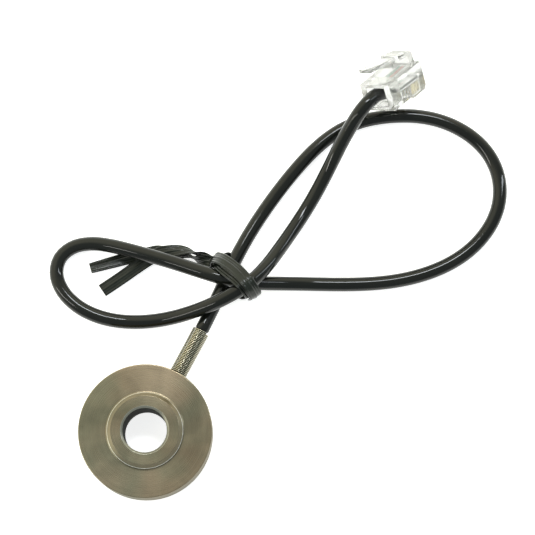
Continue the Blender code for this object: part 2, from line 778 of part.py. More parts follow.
def tie_twist(layer):
    """One layer of the twisted stretch: both layers turn together round its middle line.

    Layer 1 runs towards the ring and layer -1 comes back from it.
    """
    start, end = Vector(TIE_TWIST_START), Vector(TIE_TWIST_END)
    way = (end - start).normalized()
    side = way.cross(Vector((0.0, 0.0, 1.0))).normalized()
    up = side.cross(way)
    steps = 16
    stations = []
    for i in range(steps + 1):
        phase = math.tau * TIE_TWIST_TURNS * (1 - i / steps)
        out = (up * math.cos(phase) + side * math.sin(phase)) * layer
        place = start.lerp(end, i / steps) + out * TIE_LAYER_OFFSET
        stations.append((place, out, way * -layer))
    return stations[::-1] if layer > 0 else stations


def tie_tail(points, roll):
    points = smooth_curve(points, steps=3)
    normals = []
    for i, point in enumerate(points):
        share = i / (len(points) - 1)
        way = (points[min(i + 1, len(points) - 1)] - points[max(i - 1, 0)]).normalized()
        side = way.cross(Vector((0.0, 0.0, 1.0))).normalized()
        angle = roll * share
        normals.append(Vector((0.0, 0.0, 1.0)) * math.cos(angle) + side * math.sin(angle))
    return [(place, out, None) for place, out in zip(points, normals)]


def make_tie():
    """The twist tie as one ribbon: tail, twist, two turns round the cord, twist, tail."""
    stretches = [
        tie_tail(TIE_WIDE_TAIL, 0.0)[::-1],
        tie_twist(1.0),
        tie_ring(),
        tie_twist(-1.0),
        [(place, -out, way) for place, out, way in tie_tail(TIE_NARROW_TAIL, TIE_NARROW_TAIL_ROLL)],
    ]
    stations = stretches[0]
    for stretch in stretches[1:]:
        stations = stations + tie_bridge(stations, stretch) + stretch
    section = tie_section()
    rings = []
    for i, (place, out, way) in enumerate(stations):
        before = stations[max(i - 1, 0)][0]
        after = stations[min(i + 1, len(stations) - 1)][0]
        way = way or (after - before).normalized()
        out = (out - way * out.dot(way)).normalized()
        across = way.cross(out)
        rings.append([place + across * a + out * b for a, b in section])
    return loft("cable_tie", rings, TIE)


def prism(name, outline, width):
    """A side outline of (x, z) points, extruded to the width along Y."""
    form = bmesh.new()
    rings = []
    for y in (-width / 2, width / 2):
        rings.append([form.verts.new((x, y, z)) for x, z in outline])
    form.faces.new(rings[0])
    form.faces.new(rings[1][::-1])
    for i in range(len(outline)):
        j = (i + 1) % len(outline)
        form.faces.new((rings[0][i], rings[1][i], rings[1][j], rings[0][j]))
    bmesh.ops.recalc_face_normals(form, faces=form.faces)
    mesh = bpy.data.meshes.new(name)
    form.to_mesh(mesh)
    form.free()
    return mesh


def latch_outlines():
    """Side outlines of the latch: the wide base from the nose, and the narrow finger tab."""
    face = -PLUG_HEIGHT / 2
    nose = PLUG_LENGTH - LATCH_SETBACK
    heel = nose - LATCH_FOOT_LENGTH
    shoulder = PLUG_LENGTH - LATCH_SHOULDER_FROM_NOSE
    overlap = shoulder + LATCH_THICKNESS
    tip = -LATCH_OVERHANG
    slope = (LATCH_LIFT - LATCH_FOOT_HEIGHT) / (nose - tip)

    def outside(x):
        return face - LATCH_FOOT_HEIGHT - (nose - x) * slope

    base = [
        (heel, face + PLUG_NOSE_CHAMFER),
        (nose, face + PLUG_NOSE_CHAMFER),
        (nose, outside(nose) + LATCH_THICKNESS / 2),
        (nose - LATCH_THICKNESS / 2, outside(nose)),
        (shoulder, outside(shoulder) - LATCH_THICKNESS / 4),
        (shoulder, outside(shoulder) + LATCH_THICKNESS),
        (heel, outside(heel) + LATCH_THICKNESS),
    ]
    tab = [
        (overlap, outside(overlap) + 0.9 * LATCH_THICKNESS),
        (overlap, outside(overlap) + 0.1 * LATCH_THICKNESS),
        (tip, outside(tip)),
        (tip, outside(tip) + 0.8 * LATCH_THICKNESS),
    ]
    return base, tab


def make_plug_housing():
    """The clear housing with its latch, cable mouth, core channels and contact slots."""
    half = PLUG_HEIGHT / 2
    step_x = PLUG_LENGTH - PLUG_STEP_FROM_NOSE
    outline = [
        (0.0, -half),
        (PLUG_LENGTH - PLUG_NOSE_CHAMFER, -half),
        (PLUG_LENGTH, -half + PLUG_NOSE_CHAMFER),
        (PLUG_LENGTH, half - 1.5 * PLUG_NOSE_CHAMFER),
        (PLUG_LENGTH - PLUG_NOSE_CHAMFER, half),
        (step_x, half),
        (step_x, half - PLUG_STEP_DEPTH),
        (0.0, half - PLUG_STEP_DEPTH),
    ]
    housing = add_object("plug_housing", prism("housing", outline, PLUG_WIDTH), CLEAR)
    base, tab = latch_outlines()
    boolean(housing, add_cutter("latch_base", prism("latch_base", base, LATCH_BASE_WIDTH)), "UNION")
    boolean(housing, add_cutter("latch_tab", prism("latch_tab", tab, LATCH_TAB_WIDTH)), "UNION")

    mouth_depth = PLUG_JACKET_DEPTH + 2 * SEAT_GAP
    mouth = box_mesh("cable_mouth", (2 * mouth_depth, MOUTH_SIZE, MOUTH_SIZE), (0.0, 0.0, MOUTH_OFFSET))
    boolean(housing, add_cutter("cable_mouth", mouth))

    centre_x = RELIEF_POCKET_FROM_REAR + RELIEF_POCKET_LENGTH / 2
    top = half - PLUG_STEP_DEPTH
    size = (RELIEF_POCKET_LENGTH, RELIEF_POCKET_WIDTH, 2 * RELIEF_POCKET_DEPTH)
    pocket = box_mesh("relief_pocket", size, (centre_x, 0.0, top))
    boolean(housing, add_cutter("relief_pocket", pocket))

    channel = PLUG_CORE_DIAMETER + 2 * PLUG_CORE_CLEARANCE
    channel_end = PLUG_LENGTH - PLUG_CORE_END_FROM_NOSE + SEAT_GAP
    for number in range(4):
        y = (number - 1.5) * PLUG_CORE_PITCH
        ends = ((mouth_depth / 2, y, PLUG_CORE_HEIGHT), (channel_end, y, PLUG_CORE_HEIGHT))
        mesh = cylinder_mesh("channel", channel * 0.97, *ends, 12)
        boolean(housing, add_cutter(f"core_channel_{number + 1}", mesh))
        size = (CONTACT_LENGTH + 2 * SEAT_GAP, CONTACT_THICKNESS + 2 * FILM_GAP, half + SEAT_GAP)
        centre = (CONTACT_MIDDLE, y, PLUG_CORE_HEIGHT + size[2] / 2)
        boolean(housing, add_cutter(f"contact_slot_{number + 1}", box_mesh("slot", size, centre)))
    return settle(housing)


def make_plug_cores_and_contacts():
    """Four cores fanned out in the plug, each under its own blade contact."""
    names = ("green", "red", "white", "black")
    core_end = PLUG_LENGTH - PLUG_CORE_END_FROM_NOSE
    low = PLUG_CORE_HEIGHT + PLUG_CORE_DIAMETER / 2 + FILM_GAP
    high = PLUG_HEIGHT / 2 - CONTACT_BELOW_FACE
    back, front = CONTACT_MIDDLE - CONTACT_LENGTH / 2, CONTACT_MIDDLE + CONTACT_LENGTH / 2
    tooth = CONTACT_LENGTH / 4
    blade = [
        (back, high),
        (back, low + CONTACT_TOOTH),
        (back + tooth, low),
        (CONTACT_MIDDLE, low + CONTACT_TOOTH),
        (front - tooth, low),
        (front, low + CONTACT_TOOTH),
        (front, high),
    ]
    pieces = []
    for number, name in enumerate(names):
        y = (number - 1.5) * PLUG_CORE_PITCH
        points = [(x, y, PLUG_CORE_HEIGHT) for x in (PLUG_JACKET_DEPTH + SEAT_GAP, core_end)]
        pieces.append(tube(f"plug_core_{name}", points, PLUG_CORE_DIAMETER, CORE_COLOURS[name]))
        mesh = prism("blade", blade, CONTACT_THICKNESS)
        mesh.transform(Matrix.Translation((0.0, y, 0.0)))
        pieces.append(add_object(f"plug_contact_{number + 1}", mesh, GOLD))
    return pieces


def make_plug():
    """Build the plug in its own frame, then hang it all on one empty."""
    empty = bpy.data.objects.new("plug_frame", None)
    PARTS.objects.link(empty)
    empty.matrix_world = plug_frame()
    for piece in [make_plug_housing(), *make_plug_cores_and_contacts()]:
        piece.parent = empty


clear_scene()
PARTS = new_collection("strain_gauge_load_cell")
CUTTERS = new_collection("cutters", helper=True)

STEEL = new_material("turned_steel", (0.24, 0.21, 0.15), 0.38, 1.0)
COVER_STEEL = new_material("cover_steel", (0.30, 0.28, 0.22), 0.40, 1.0)
SPRING_STEEL = new_material("spring_wire", (0.55, 0.53, 0.42), 0.25, 1.0)
FILM = new_material("gauge_film", (0.55, 0.30, 0.06), 0.40)
FOIL = new_material("gauge_foil", (0.55, 0.54, 0.50), 0.35, 1.0)
BOARD = new_material("board", (0.04, 0.20, 0.08), 0.45)
BRASS = new_material("brass", (0.62, 0.47, 0.20), 0.30, 1.0)
GOLD = new_material("contact_gold", (0.80, 0.58, 0.22), 0.25, 1.0)
COPPER = new_material("enamelled_copper", (0.50, 0.20, 0.08), 0.35, 1.0)
RESISTOR = new_material("resistor", (0.03, 0.03, 0.035), 0.50)
JACKET = new_material("black_jacket", (0.012, 0.014, 0.014), 0.18)
TIE = new_material("tie_plastic", (0.030, 0.036, 0.032), 0.32)
CLEAR = new_material("clear_plastic", (0.95, 0.96, 0.95), 0.06, 0.0, 1.0)
CORE_COLOURS = {
    "red": new_material("core_red", (0.55, 0.03, 0.02), 0.40),
    "black": new_material("core_black", (0.02, 0.02, 0.02), 0.40),
    "green": new_material("core_green", (0.03, 0.28, 0.10), 0.40),
    "white": new_material("core_white", (0.80, 0.80, 0.76), 0.40),
}

make_sensing_body()
make_bottom_cover()
make_gauges()
make_terminal_board()
make_resistors()
make_bridge_wires()
make_leads()
make_ferrule()
make_spring()
make_cord()
make_tie()
make_plug()
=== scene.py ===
"""Looks of a through-hole load cell: turned steel, spring strain relief, tied glossy cord and clear plug.

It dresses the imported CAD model. Metres, +Z up. The origin is under the middle of the disc.
"""

import json
import math

import bmesh
import bpy
from mathutils import Matrix, Quaternion, Vector

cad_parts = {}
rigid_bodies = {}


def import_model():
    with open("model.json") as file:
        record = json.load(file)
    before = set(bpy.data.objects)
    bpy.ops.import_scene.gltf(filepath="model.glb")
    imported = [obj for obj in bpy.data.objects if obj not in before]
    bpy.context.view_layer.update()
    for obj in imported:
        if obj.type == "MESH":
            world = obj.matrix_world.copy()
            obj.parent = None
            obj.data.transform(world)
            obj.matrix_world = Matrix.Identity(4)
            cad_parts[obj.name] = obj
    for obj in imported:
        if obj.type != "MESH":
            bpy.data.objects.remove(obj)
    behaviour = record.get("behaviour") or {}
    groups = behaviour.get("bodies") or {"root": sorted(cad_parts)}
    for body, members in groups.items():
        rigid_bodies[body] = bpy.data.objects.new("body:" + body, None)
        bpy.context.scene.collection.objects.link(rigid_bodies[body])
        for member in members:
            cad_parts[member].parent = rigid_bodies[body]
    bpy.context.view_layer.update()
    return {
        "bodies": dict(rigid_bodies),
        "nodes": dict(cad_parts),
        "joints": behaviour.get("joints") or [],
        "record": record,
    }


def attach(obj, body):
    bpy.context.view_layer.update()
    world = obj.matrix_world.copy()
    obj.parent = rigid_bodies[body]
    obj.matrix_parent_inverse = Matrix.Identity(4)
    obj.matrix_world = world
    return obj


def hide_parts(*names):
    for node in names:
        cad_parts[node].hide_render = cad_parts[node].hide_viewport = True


# Camera, as in the photograph: it looks almost straight down, from a little towards -Y
CAMERA_TARGET = (0.02554, 0.03596, 0.0)
CAMERA_DISTANCE = 0.454
CAMERA_TILT = math.radians(10.0)
FOCAL_PIXELS = 2110.0
IMAGE_WIDTH = 535
SENSOR_WIDTH = 36.0

# Light: a room with a warm, bright upper left side, a small lamp over the cord and two strip lamps.
# A lamp is its heading, elevation, turn about its own axis, size, power and colour.
ROOM_HEADING = math.radians(123.0)
ROOM_LEAN = math.radians(-18.0)
ROOM_LIGHT = 1.7
ROOM_BLEND = (0.38, 0.62)
GLOSS_SHARE = 0.2
ROOM_BRIGHT = (1.0, 0.98, 0.76)
ROOM_DARK = (0.17, 0.20, 0.20)
LAMP_DISTANCE = 0.8
GLOW_LAMP = (math.radians(85.0), math.radians(63.0), 0.0, (0.24, 0.10), 2.0, (0.90, 0.95, 1.0))
COOL_LAMP = (math.radians(21.0), math.radians(38.0), 0.0, (0.06, 0.56), 1.3, (0.88, 0.94, 1.0))
WARM_TURN = math.radians(-30.0)
WARM_LAMP = (math.radians(203.0), math.radians(37.0), WARM_TURN, (0.05, 0.50), 1.2, (1.0, 0.98, 0.92))
FLOOR_SIZE = 3.0
FLOOR_GLOW = 0.80
FLOOR_COLOUR = (0.80, 0.80, 0.79, 1.0)

# Disc
RIM_RADIUS = 0.014
RIM_THICKNESS = 0.008
COLLAR_RADIUS = 0.008
BODY_HEIGHT = 0.0095
COLLAR_CHAMFER = 0.0008
COLLAR_ROOT_FILLET = 0.00025
BORE_RADIUS = 0.0046
BORE_CHAMFER = 0.00045
EDGE_BREAK = 0.00018
CAVITY_INNER = 0.0062
CAVITY_OUTER = 0.0118
CAVITY_TOP = 0.0066
CAVITY_FILLET = 0.0005
COVER_LEDGE = 0.0005
COVER_SEAT = 0.00125
FERRULE_OUTER = 0.01126
BODY_STEPS = 240
FINE_ROUNDING = 0.00006
COLLAR_EDGE_ROUNDING = 0.00016

# Turned steel
TURNED_ANISOTROPY = 0.5
EDGE_TINT = (0.50, 0.50, 0.47, 1.0)
TOOL_MARK_SCALE = 9000.0
TOOL_BAND_SCALE = 1600.0
STEEP_FACE = 0.95
STEEP_ROUGHNESS = 0.30
BODY_DARK = (0.210, 0.186, 0.132)
BODY_LIGHT = (0.335, 0.290, 0.205)
COVER_DARK = (0.28, 0.26, 0.20)
COVER_LIGHT = (0.36, 0.33, 0.26)
# Painted shade in the bore: a near-black, rough, non-metal wall.
BORE_PAINTED_SHADE = (0.020, 0.021, 0.016)
BORE_ROUGHNESS = 0.75
# Painted highlight on the bore's mouth.
BORE_MOUTH_HIGHLIGHT = (0.46, 0.45, 0.38)
# Painted glint on the collar's rounded edge.
COLLAR_EDGE_GLINT = (0.93, 0.92, 0.84)

# Cable exit and spring, the spring a little wider than the CAD's
EXIT_ANGLE = math.radians(62.0)
EXIT_HEIGHT = 0.004
EXIT_DIAMETER = 0.00425
SPRING_WIRE = 0.00028
SPRING_RADIUS = 0.00177
SPRING_PITCH = 0.00034
SPRING_START = 0.0122
SPRING_END = 0.0245
SPRING_STEPS = 30
SEAT_GAP = 0.0003

# Cord: the same points as the CAD route
CORD_DIAMETER = 0.00305
CORD_NECK_DIAMETER = 0.0025
CORD_START = 0.0098
CORD_CAD_SPACING = 0.0042
CORD_STEP = 0.0011
CORD_ROUTE = (
    (0.0157, 0.0306, 0.0028),
    (0.0190, 0.0380, 0.0026),
    (0.0241, 0.0469, 0.0016),
    (0.0303, 0.0554, 0.0016),
    (0.0374, 0.0630, 0.0016),
    (0.0457, 0.0678, 0.0016),
    (0.0587, 0.0689, 0.0016),
    (0.0673, 0.0659, 0.0016),
    (0.0740, 0.0597, 0.0016),
    (0.0756, 0.0509, 0.0016),
    (0.0744, 0.0470, 0.0016),
    (0.0701, 0.0405, 0.0016),
    (0.0630, 0.0358, 0.0016),
    (0.0538, 0.0329, 0.0016),
    (0.0432, 0.0320, 0.0017),
    (0.0325, 0.0321, 0.0020),
    (0.0205, 0.0318, 0.0055),
    (0.0165, 0.0325, 0.0062),
    (0.0026, 0.0372, 0.0039),
    (-0.0028, 0.0387, 0.0036),
    (-0.0111, 0.0407, 0.0018),
    (-0.0154, 0.0406, 0.0016),
    (-0.0189, 0.0384, 0.0016),
    (-0.0199, 0.0345, 0.0016),
    (-0.0186, 0.0311, 0.0016),
    (-0.0132, 0.0262, 0.0016),
    (-0.0049, 0.0240, 0.0016),
    (0.0044, 0.0245, 0.0026),
    (0.0137, 0.0268, 0.0073),
    (0.0188, 0.0293, 0.0085),
    (0.0233, 0.0323, 0.0084),
    (0.0258, 0.0360, 0.0064),
    (0.0304, 0.0428, 0.0027),
    (0.0355, 0.0511, 0.0017),
    (0.0379, 0.0554, 0.0025),
    (0.0401, 0.0597, 0.0051),
    (0.0440, 0.0659, 0.0103),
    (0.0453, 0.0676, 0.0117),
    (0.0471, 0.0698, 0.0122),
)

# Plug frame: X from its rear face to its nose, Z towards its contacts
PLUG_REAR = (0.0490, 0.0703, 0.0114)
PLUG_HEADING = math.radians(47.0)
PLUG_PITCH = math.radians(34.0)
PLUG_ROLL = math.radians(134.0)
PLUG_LENGTH = 0.0126
PLUG_WIDTH = 0.00765
PLUG_HEIGHT = 0.0066
PLUG_STEP_DEPTH = 0.0006
PLUG_STEP_FROM_NOSE = 0.0053
PLUG_NOSE_CHAMFER = 0.0006
MOUTH_SIZE = 0.00465
MOUTH_OFFSET = -0.0002
PLUG_JACKET_DEPTH = 0.0040
PLUG_ENTRY = (0.0006, -0.0005, -0.00065)
PLUG_CORE_PITCH = 0.00102
PLUG_CORE_HEIGHT = 0.0001
PLUG_CORE_END_FROM_NOSE = 0.0009
CHANNEL_DIAMETER = 0.00102
CONTACT_THICKNESS = 0.00035
CONTACT_PLAY = 0.0002
CONTACT_LENGTH = 0.0030
CONTACT_MIDDLE = 0.0102
RELIEF_POCKET_LENGTH = 0.0024
RELIEF_POCKET_WIDTH = 0.0034
RELIEF_POCKET_DEPTH = 0.0003
RELIEF_POCKET_FROM_REAR = 0.0012
HOUSING_ROUNDING = 0.00012
LATCH_BASE_WIDTH = 0.0046
LATCH_TAB_WIDTH = 0.0029
LATCH_THICKNESS = 0.0009
LATCH_SETBACK = 0.0001
LATCH_FOOT_LENGTH = 0.0018
LATCH_FOOT_HEIGHT = 0.0023
LATCH_SHOULDER_FROM_NOSE = 0.0052
LATCH_OVERHANG = 0.0019
LATCH_LIFT = 0.0044

# Twist tie: the CAD ribbon's course with less twist, moved by up to 1.3 mm to lie as in the photograph.
# A ring point is how far it lies along and across from the start, its height and its roll in degrees.
TIE_WIDTH = 0.0029
TIE_EDGE_THICKNESS = 0.0004
TIE_CORE_THICKNESS = 0.0007
TIE_RIB = 0.00007
TIE_RIBS_PER_HALF = 2.5
TIE_SWELL_WIDTH = 0.26
TIE_RIM_SHARPNESS = 14
TIE_SECTION_STEPS = 28
TIE_RING_START = (0.0147, 0.0372)
TIE_RING_HEADING = math.radians(-41.0)
TIE_RING = (
    (0.0043, -0.0019, 0.0005, 0),
    (0.0075, -0.0019, 0.0009, 0),
    (0.0095, -0.0017, 0.0024, -6),
    (0.0106, -0.0016, 0.0044, -20),
    (0.0110, -0.0016, 0.0066, -18),
    (0.0110, -0.0016, 0.0092, -10),
    (0.0091, -0.0014, 0.0112, 5),
    (0.0070, -0.0012, 0.0108, 12),
    (0.0050, -0.0011, 0.0092, 12),
    (0.0023, -0.0009, 0.0072, 6),
    (0.0009, -0.0003, 0.0051, 0),
    (0.0007, 0.0009, 0.0032, 0),
    (0.0015, 0.0018, 0.0012, 0),
    (0.0043, 0.0013, 0.0005, 0),
    (0.0078, 0.0010, 0.0005, 0),
    (0.0105, 0.0001, 0.0012, -4),
    (0.0114, -0.0010, 0.0036, -20),
    (0.0119, -0.0012, 0.0064, -18),
    (0.0120, -0.0011, 0.0095, -10),
    (0.0098, -0.0006, 0.0121, 5),
    (0.0071, -0.0001, 0.0117, 14),
    (0.0044, 0.0002, 0.0101, 14),
    (0.0014, 0.0001, 0.0079, 8),
    (-0.0002, -0.0002, 0.0056, 0),
)
TIE_TWIST = (
    (0.0130, 0.0368, 0.0020),
    (0.0113, 0.0377, 0.0018),
    (0.0098, 0.0383, 0.0018),
    (0.0080, 0.0389, 0.0018),
    (0.0059, 0.0391, 0.0016),
    (0.0038, 0.0390, 0.0014),
)
TIE_TWIST_TURNS = 0.5
TIE_TWIST_EASE = 1.5
TIE_LAYER_OFFSET = 0.0005
TIE_WIDE_TAIL = (
    (0.0018, 0.0385, 0.0016),
    (-0.0003, 0.0373, 0.0013),
    (-0.0025, 0.0359, 0.0009),
    (-0.0061, 0.0334, 0.0006),
    (-0.0099, 0.0308, 0.0006),
)
TIE_NARROW_TAIL = (
    (0.0014, 0.0392, 0.0007),
    (-0.0040, 0.0380, 0.0006),
    (-0.0083, 0.0368, 0.0008),
    (-0.0125, 0.0356, 0.0010),
)
TIE_NARROW_TAIL_ROLL = math.radians(30.0)

# Grain of plain metal and plastic
METAL_GRAIN_SCALE = 2500.0
PLASTIC_GRAIN_SCALE = 1800.0


def new_material(name):
    """A new node material and its shader."""
    material = bpy.data.materials.new(name)
    material.use_nodes = True
    return material, material.node_tree.nodes["Principled BSDF"]


def node(material, kind, inputs=None, **settings):
    """A new node in a material or world. An input is a value or another node's output."""
    made = material.node_tree.nodes.new(kind)
    for key, value in settings.items():
        setattr(made, key, value)
    for key, value in (inputs or {}).items():
        if isinstance(value, bpy.types.NodeSocket):
            material.node_tree.links.new(value, made.inputs[key])
        else:
            made.inputs[key].default_value = value
    return made


def link(material, output, target):
    material.node_tree.links.new(output, target)


def place_of(material):
    """The point on the surface, in metres in the object's own frame."""
    return node(material, "ShaderNodeTexCoord").outputs["Object"]


def mottled(material, place, scale, detail=3.0, distortion=0.0):
    inputs = {"Vector": place, "Scale": scale, "Detail": detail, "Distortion": distortion}
    return node(material, "ShaderNodeTexNoise", inputs).outputs["Fac"]


def ramp(material, factor, stops):
    """Colours or grey levels along a factor. stops are (position, colour)."""
    stops = list(stops)
    made = node(material, "ShaderNodeValToRGB", {"Fac": factor})
    elements = made.color_ramp.elements
    while len(elements) < len(stops):
        elements.new(0.5)
    for element, (position, colour) in zip(elements, stops):
        element.position = position
        element.color = (*colour, 1.0) if len(colour) == 3 else (colour[0],) * 3 + (1.0,)
    return made.outputs["Color"]


def grey(level):
    return (level, level, level, 1.0)


def mixed(material, factor, a, b):
    """Colour a, mixed with colour b by the factor. The Mix node has these sockets for each data type."""
    made = node(material, "ShaderNodeMix", data_type="RGBA")
    for socket, value in ((made.inputs[0], factor), (made.inputs[6], a), (made.inputs[7], b)):
        if isinstance(value, bpy.types.NodeSocket):
            link(material, value, socket)
        else:
            socket.default_value = value
    return made.outputs[2]


def bump(material, shader, height, distance, strength=1.0):
    inputs = {"Height": height, "Distance": distance, "Strength": strength}
    made = node(material, "ShaderNodeBump", inputs)
    link(material, made.outputs["Normal"], shader.inputs["Normal"])


def math_node(material, operation, a, b=0.0, c=0.0):
    return node(material, "ShaderNodeMath", {0: a, 1: b, 2: c}, operation=operation).outputs[0]


def vector_node(material, operation, a, b=(0.0, 0.0, 0.0)):
    """A vector operation. Its result is a number for LENGTH and DOT_PRODUCT, and a vector otherwise."""
    made = node(material, "ShaderNodeVectorMath", {0: a, 1: b}, operation=operation)
    return made.outputs["Value" if operation in ("LENGTH", "DOT_PRODUCT") else "Vector"]


def tool_marks(material, along, scale):
    """Uneven lines that follow the tool's path, as noise along one length."""
    inputs = {"W": along, "Scale": scale, "Detail": 2.0}
    return node(material, "ShaderNodeTexNoise", inputs, noise_dimensions="1D").outputs["Fac"]


def steel_colour(material, place, flat, along, dark, light):
    """Tarnish between dark and light in soft patches and broad bands, with warm places, and faint spokes
    round the axis that are painted sheen.
    """
    # The spokes are painted sheen: tone that changes round the axis, as the sheen bands of a turned face
    # do.
    sheen_spokes = mottled(material, vector_node(material, "NORMALIZE", flat), 3.0, 3.0)
    patches = mottled(material, place, 130.0, 3.0, 0.5)
    bands = tool_marks(material, along, TOOL_BAND_SCALE)
    tarnish_and_sheen = math_node(material, "MULTIPLY_ADD", bands, 0.14, patches)
    tarnish_and_sheen = math_node(material, "MULTIPLY_ADD", sheen_spokes, 0.25, tarnish_and_sheen)
    middle = tuple((a + b) / 2 for a, b in zip(dark, light))
    colour = ramp(material, tarnish_and_sheen, [(0.48, dark), (0.69, middle), (0.88, light)])
    warm = mottled(material, place, 85.0, 2.0, 0.4)
    tint = ramp(material, warm, [(0.38, (0.96, 1.01, 0.98)), (0.62, (1.08, 0.985, 0.95))])
    return vector_node(material, "MULTIPLY", colour, tint)


def turned_steel(name, dark, light, bored=False):
    """Turned steel with tool marks round the axis and painted shade on its steep faces. If bored, it also
    has a painted glint on the body's collar edge, a painted highlight on the bore's mouth and painted
    shade in the bore.
    """
    material, shader = new_material(name)
    shader.inputs["Metallic"].default_value = 1.0
    shader.inputs["Anisotropic"].default_value = TURNED_ANISOTROPY
    shader.inputs["Anisotropic Rotation"].default_value = 0.25
    shader.inputs["Specular Tint"].default_value = EDGE_TINT
    round_axis = node(material, "ShaderNodeTangent", direction_type="RADIAL", axis="Z")
    link(material, round_axis.outputs[0], shader.inputs["Tangent"])
    place = place_of(material)
    axes = node(material, "ShaderNodeSeparateXYZ", {"Vector": place}).outputs
    flat = node(material, "ShaderNodeCombineXYZ", {"X": axes["X"], "Y": axes["Y"]}).outputs[0]
    radius = vector_node(material, "LENGTH", flat)
    along = math_node(material, "ADD", radius, axes["Z"])
    colour = steel_colour(material, place, flat, along, dark, light)

    facing = node(material, "ShaderNodeNewGeometry").outputs["Normal"]
    level = node(material, "ShaderNodeSeparateXYZ", {"Vector": facing}).outputs["Z"]
    steep = math_node(material, "LESS_THAN", math_node(material, "ABSOLUTE", level), STEEP_FACE)
    marks = tool_marks(material, along, TOOL_MARK_SCALE)
    roughness = ramp(material, marks, [(0.3, (0.23,)), (0.7, (0.29,))])
    roughness = mixed(material, steep, roughness, grey(STEEP_ROUGHNESS))
    # Painted shade: steep faces, such as walls and chamfers, are mixed halfway to the dark tone.
    colour = mixed(material, math_node(material, "MULTIPLY", steep, 0.5), colour, (*dark, 1.0))
    if bored:
        # Painted glint: a near-white colour on the rounded edge of the collar's chamfer.
        near = math_node(material, "COMPARE", radius, COLLAR_RADIUS, 0.7 * COLLAR_EDGE_ROUNDING)
        height = BODY_HEIGHT - COLLAR_CHAMFER - 0.5 * COLLAR_EDGE_ROUNDING
        high = math_node(material, "GREATER_THAN", axes["Z"], height)
        edge = math_node(material, "MULTIPLY", near, high)
        colour = mixed(material, edge, colour, (*COLLAR_EDGE_GLINT, 1.0))
        # Painted highlight: the bore's chamfer is given a lighter tone.
        mouth = math_node(material, "LESS_THAN", radius, BORE_RADIUS + 1.1 * BORE_CHAMFER)
        colour = mixed(material, mouth, colour, (*BORE_MOUTH_HIGHLIGHT, 1.0))
        # Painted shade: the bore's wall is near black, rough and not metal, so it reflects little.
        bore = math_node(material, "LESS_THAN", radius, BORE_RADIUS + 0.1 * BORE_CHAMFER)
        colour = mixed(material, bore, colour, (*BORE_PAINTED_SHADE, 1.0))
        roughness = mixed(material, bore, roughness, grey(BORE_ROUGHNESS))
        link(material, math_node(material, "SUBTRACT", 1.0, bore), shader.inputs["Metallic"])
    link(material, colour, shader.inputs["Base Color"])
    link(material, roughness, shader.inputs["Roughness"])
    bump(material, shader, marks, 0.000002, 0.08)
    return material


def plain_metal(name, colour, roughness):
    """Smooth metal with a slight grain in its colour and gloss."""
    material, shader = new_material(name)
    shader.inputs["Metallic"].default_value = 1.0
    place = place_of(material)
    grain = mottled(material, place, METAL_GRAIN_SCALE, 2.0)
    darker = tuple(0.8 * c for c in colour)
    link(material, ramp(material, grain, [(0.3, darker), (0.7, colour)]), shader.inputs["Base Color"])
    low, high = (max(0.05, roughness - 0.06),), (roughness + 0.06,)
    link(material, ramp(material, grain, [(0.3, low), (0.7, high)]), shader.inputs["Roughness"])
    bump(material, shader, grain, 0.000006, 0.3)
    return material


def plain_plastic(name, colour, roughness, coat=0.0):
    """Plastic, film or enamel with a slight grain in its colour and gloss."""
    material, shader = new_material(name)
    place = place_of(material)
    grain = mottled(material, place, PLASTIC_GRAIN_SCALE, 2.0)
    darker = tuple(0.82 * c for c in colour)
    link(material, ramp(material, grain, [(0.3, darker), (0.7, colour)]), shader.inputs["Base Color"])
    low, high = (max(0.03, roughness - 0.05),), (roughness + 0.05,)
    link(material, ramp(material, grain, [(0.3, low), (0.7, high)]), shader.inputs["Roughness"])
    shader.inputs["Coat Weight"].default_value = coat
    shader.inputs["Coat Roughness"].default_value = 0.06
    bump(material, shader, grain, 0.000005, 0.25)
    return material


def wound_wire():
    """Bright drawn wire, darkened between its turns by painted shade."""
    material, shader = new_material("spring_wire")
    shader.inputs["Metallic"].default_value = 1.0
    place = place_of(material)
    from_start = vector_node(material, "SUBTRACT", place, exit_point(0.0))
    aside = vector_node(material, "CROSS_PRODUCT", from_start, polar(1.0, EXIT_ANGLE, 0.0))
    reach = vector_node(material, "LENGTH", aside)
    # Painted shade: bright at the outer crest of each turn, near black towards the gaps between turns.
    share = math_node(material, "MULTIPLY_ADD", reach, 1 / SPRING_WIRE, 0.5 - SPRING_RADIUS / SPRING_WIRE)
    stops = [(0.60, (0.02, 0.02, 0.01)), (0.84, (0.12, 0.12, 0.08)), (0.99, (0.60, 0.56, 0.43))]
    link(material, ramp(material, share, stops), shader.inputs["Base Color"])
    wear = mottled(material, place, METAL_GRAIN_SCALE, 2.0)
    link(material, ramp(material, wear, [(0.3, (0.12,)), (0.7, (0.24,))]), shader.inputs["Roughness"])
    return material


def glossy_jacket():
    """Black vinyl with a hard gloss and a slight waviness."""
    material, shader = new_material("black_jacket")
    place = place_of(material)
    tint = mottled(material, place, 90.0, 2.0)
    colour = ramp(material, tint, [(0.3, (0.005, 0.006, 0.005)), (0.7, (0.010, 0.011, 0.009))])
    link(material, colour, shader.inputs["Base Color"])
    shader.inputs["Roughness"].default_value = 0.07
    shader.inputs["Specular IOR Level"].default_value = 0.34
    waves = mottled(material, place, 260.0, 2.0)
    bump(material, shader, waves, 0.00005, 0.4)
    return material


def tie_plastic():
    """Satin black-green plastic ribbon with a faint unevenness."""
    material, shader = new_material("tie_plastic")
    place = place_of(material)
    tint = mottled(material, place, 300.0, 3.0)
    colour = ramp(material, tint, [(0.3, (0.006, 0.008, 0.006)), (0.7, (0.016, 0.020, 0.015))])
    link(material, colour, shader.inputs["Base Color"])
    shader.inputs["Roughness"].default_value = 0.22
    shader.inputs["Specular IOR Level"].default_value = 0.34
    bump(material, shader, mottled(material, place, 900.0, 2.0), 0.00003, 0.4)
    return material


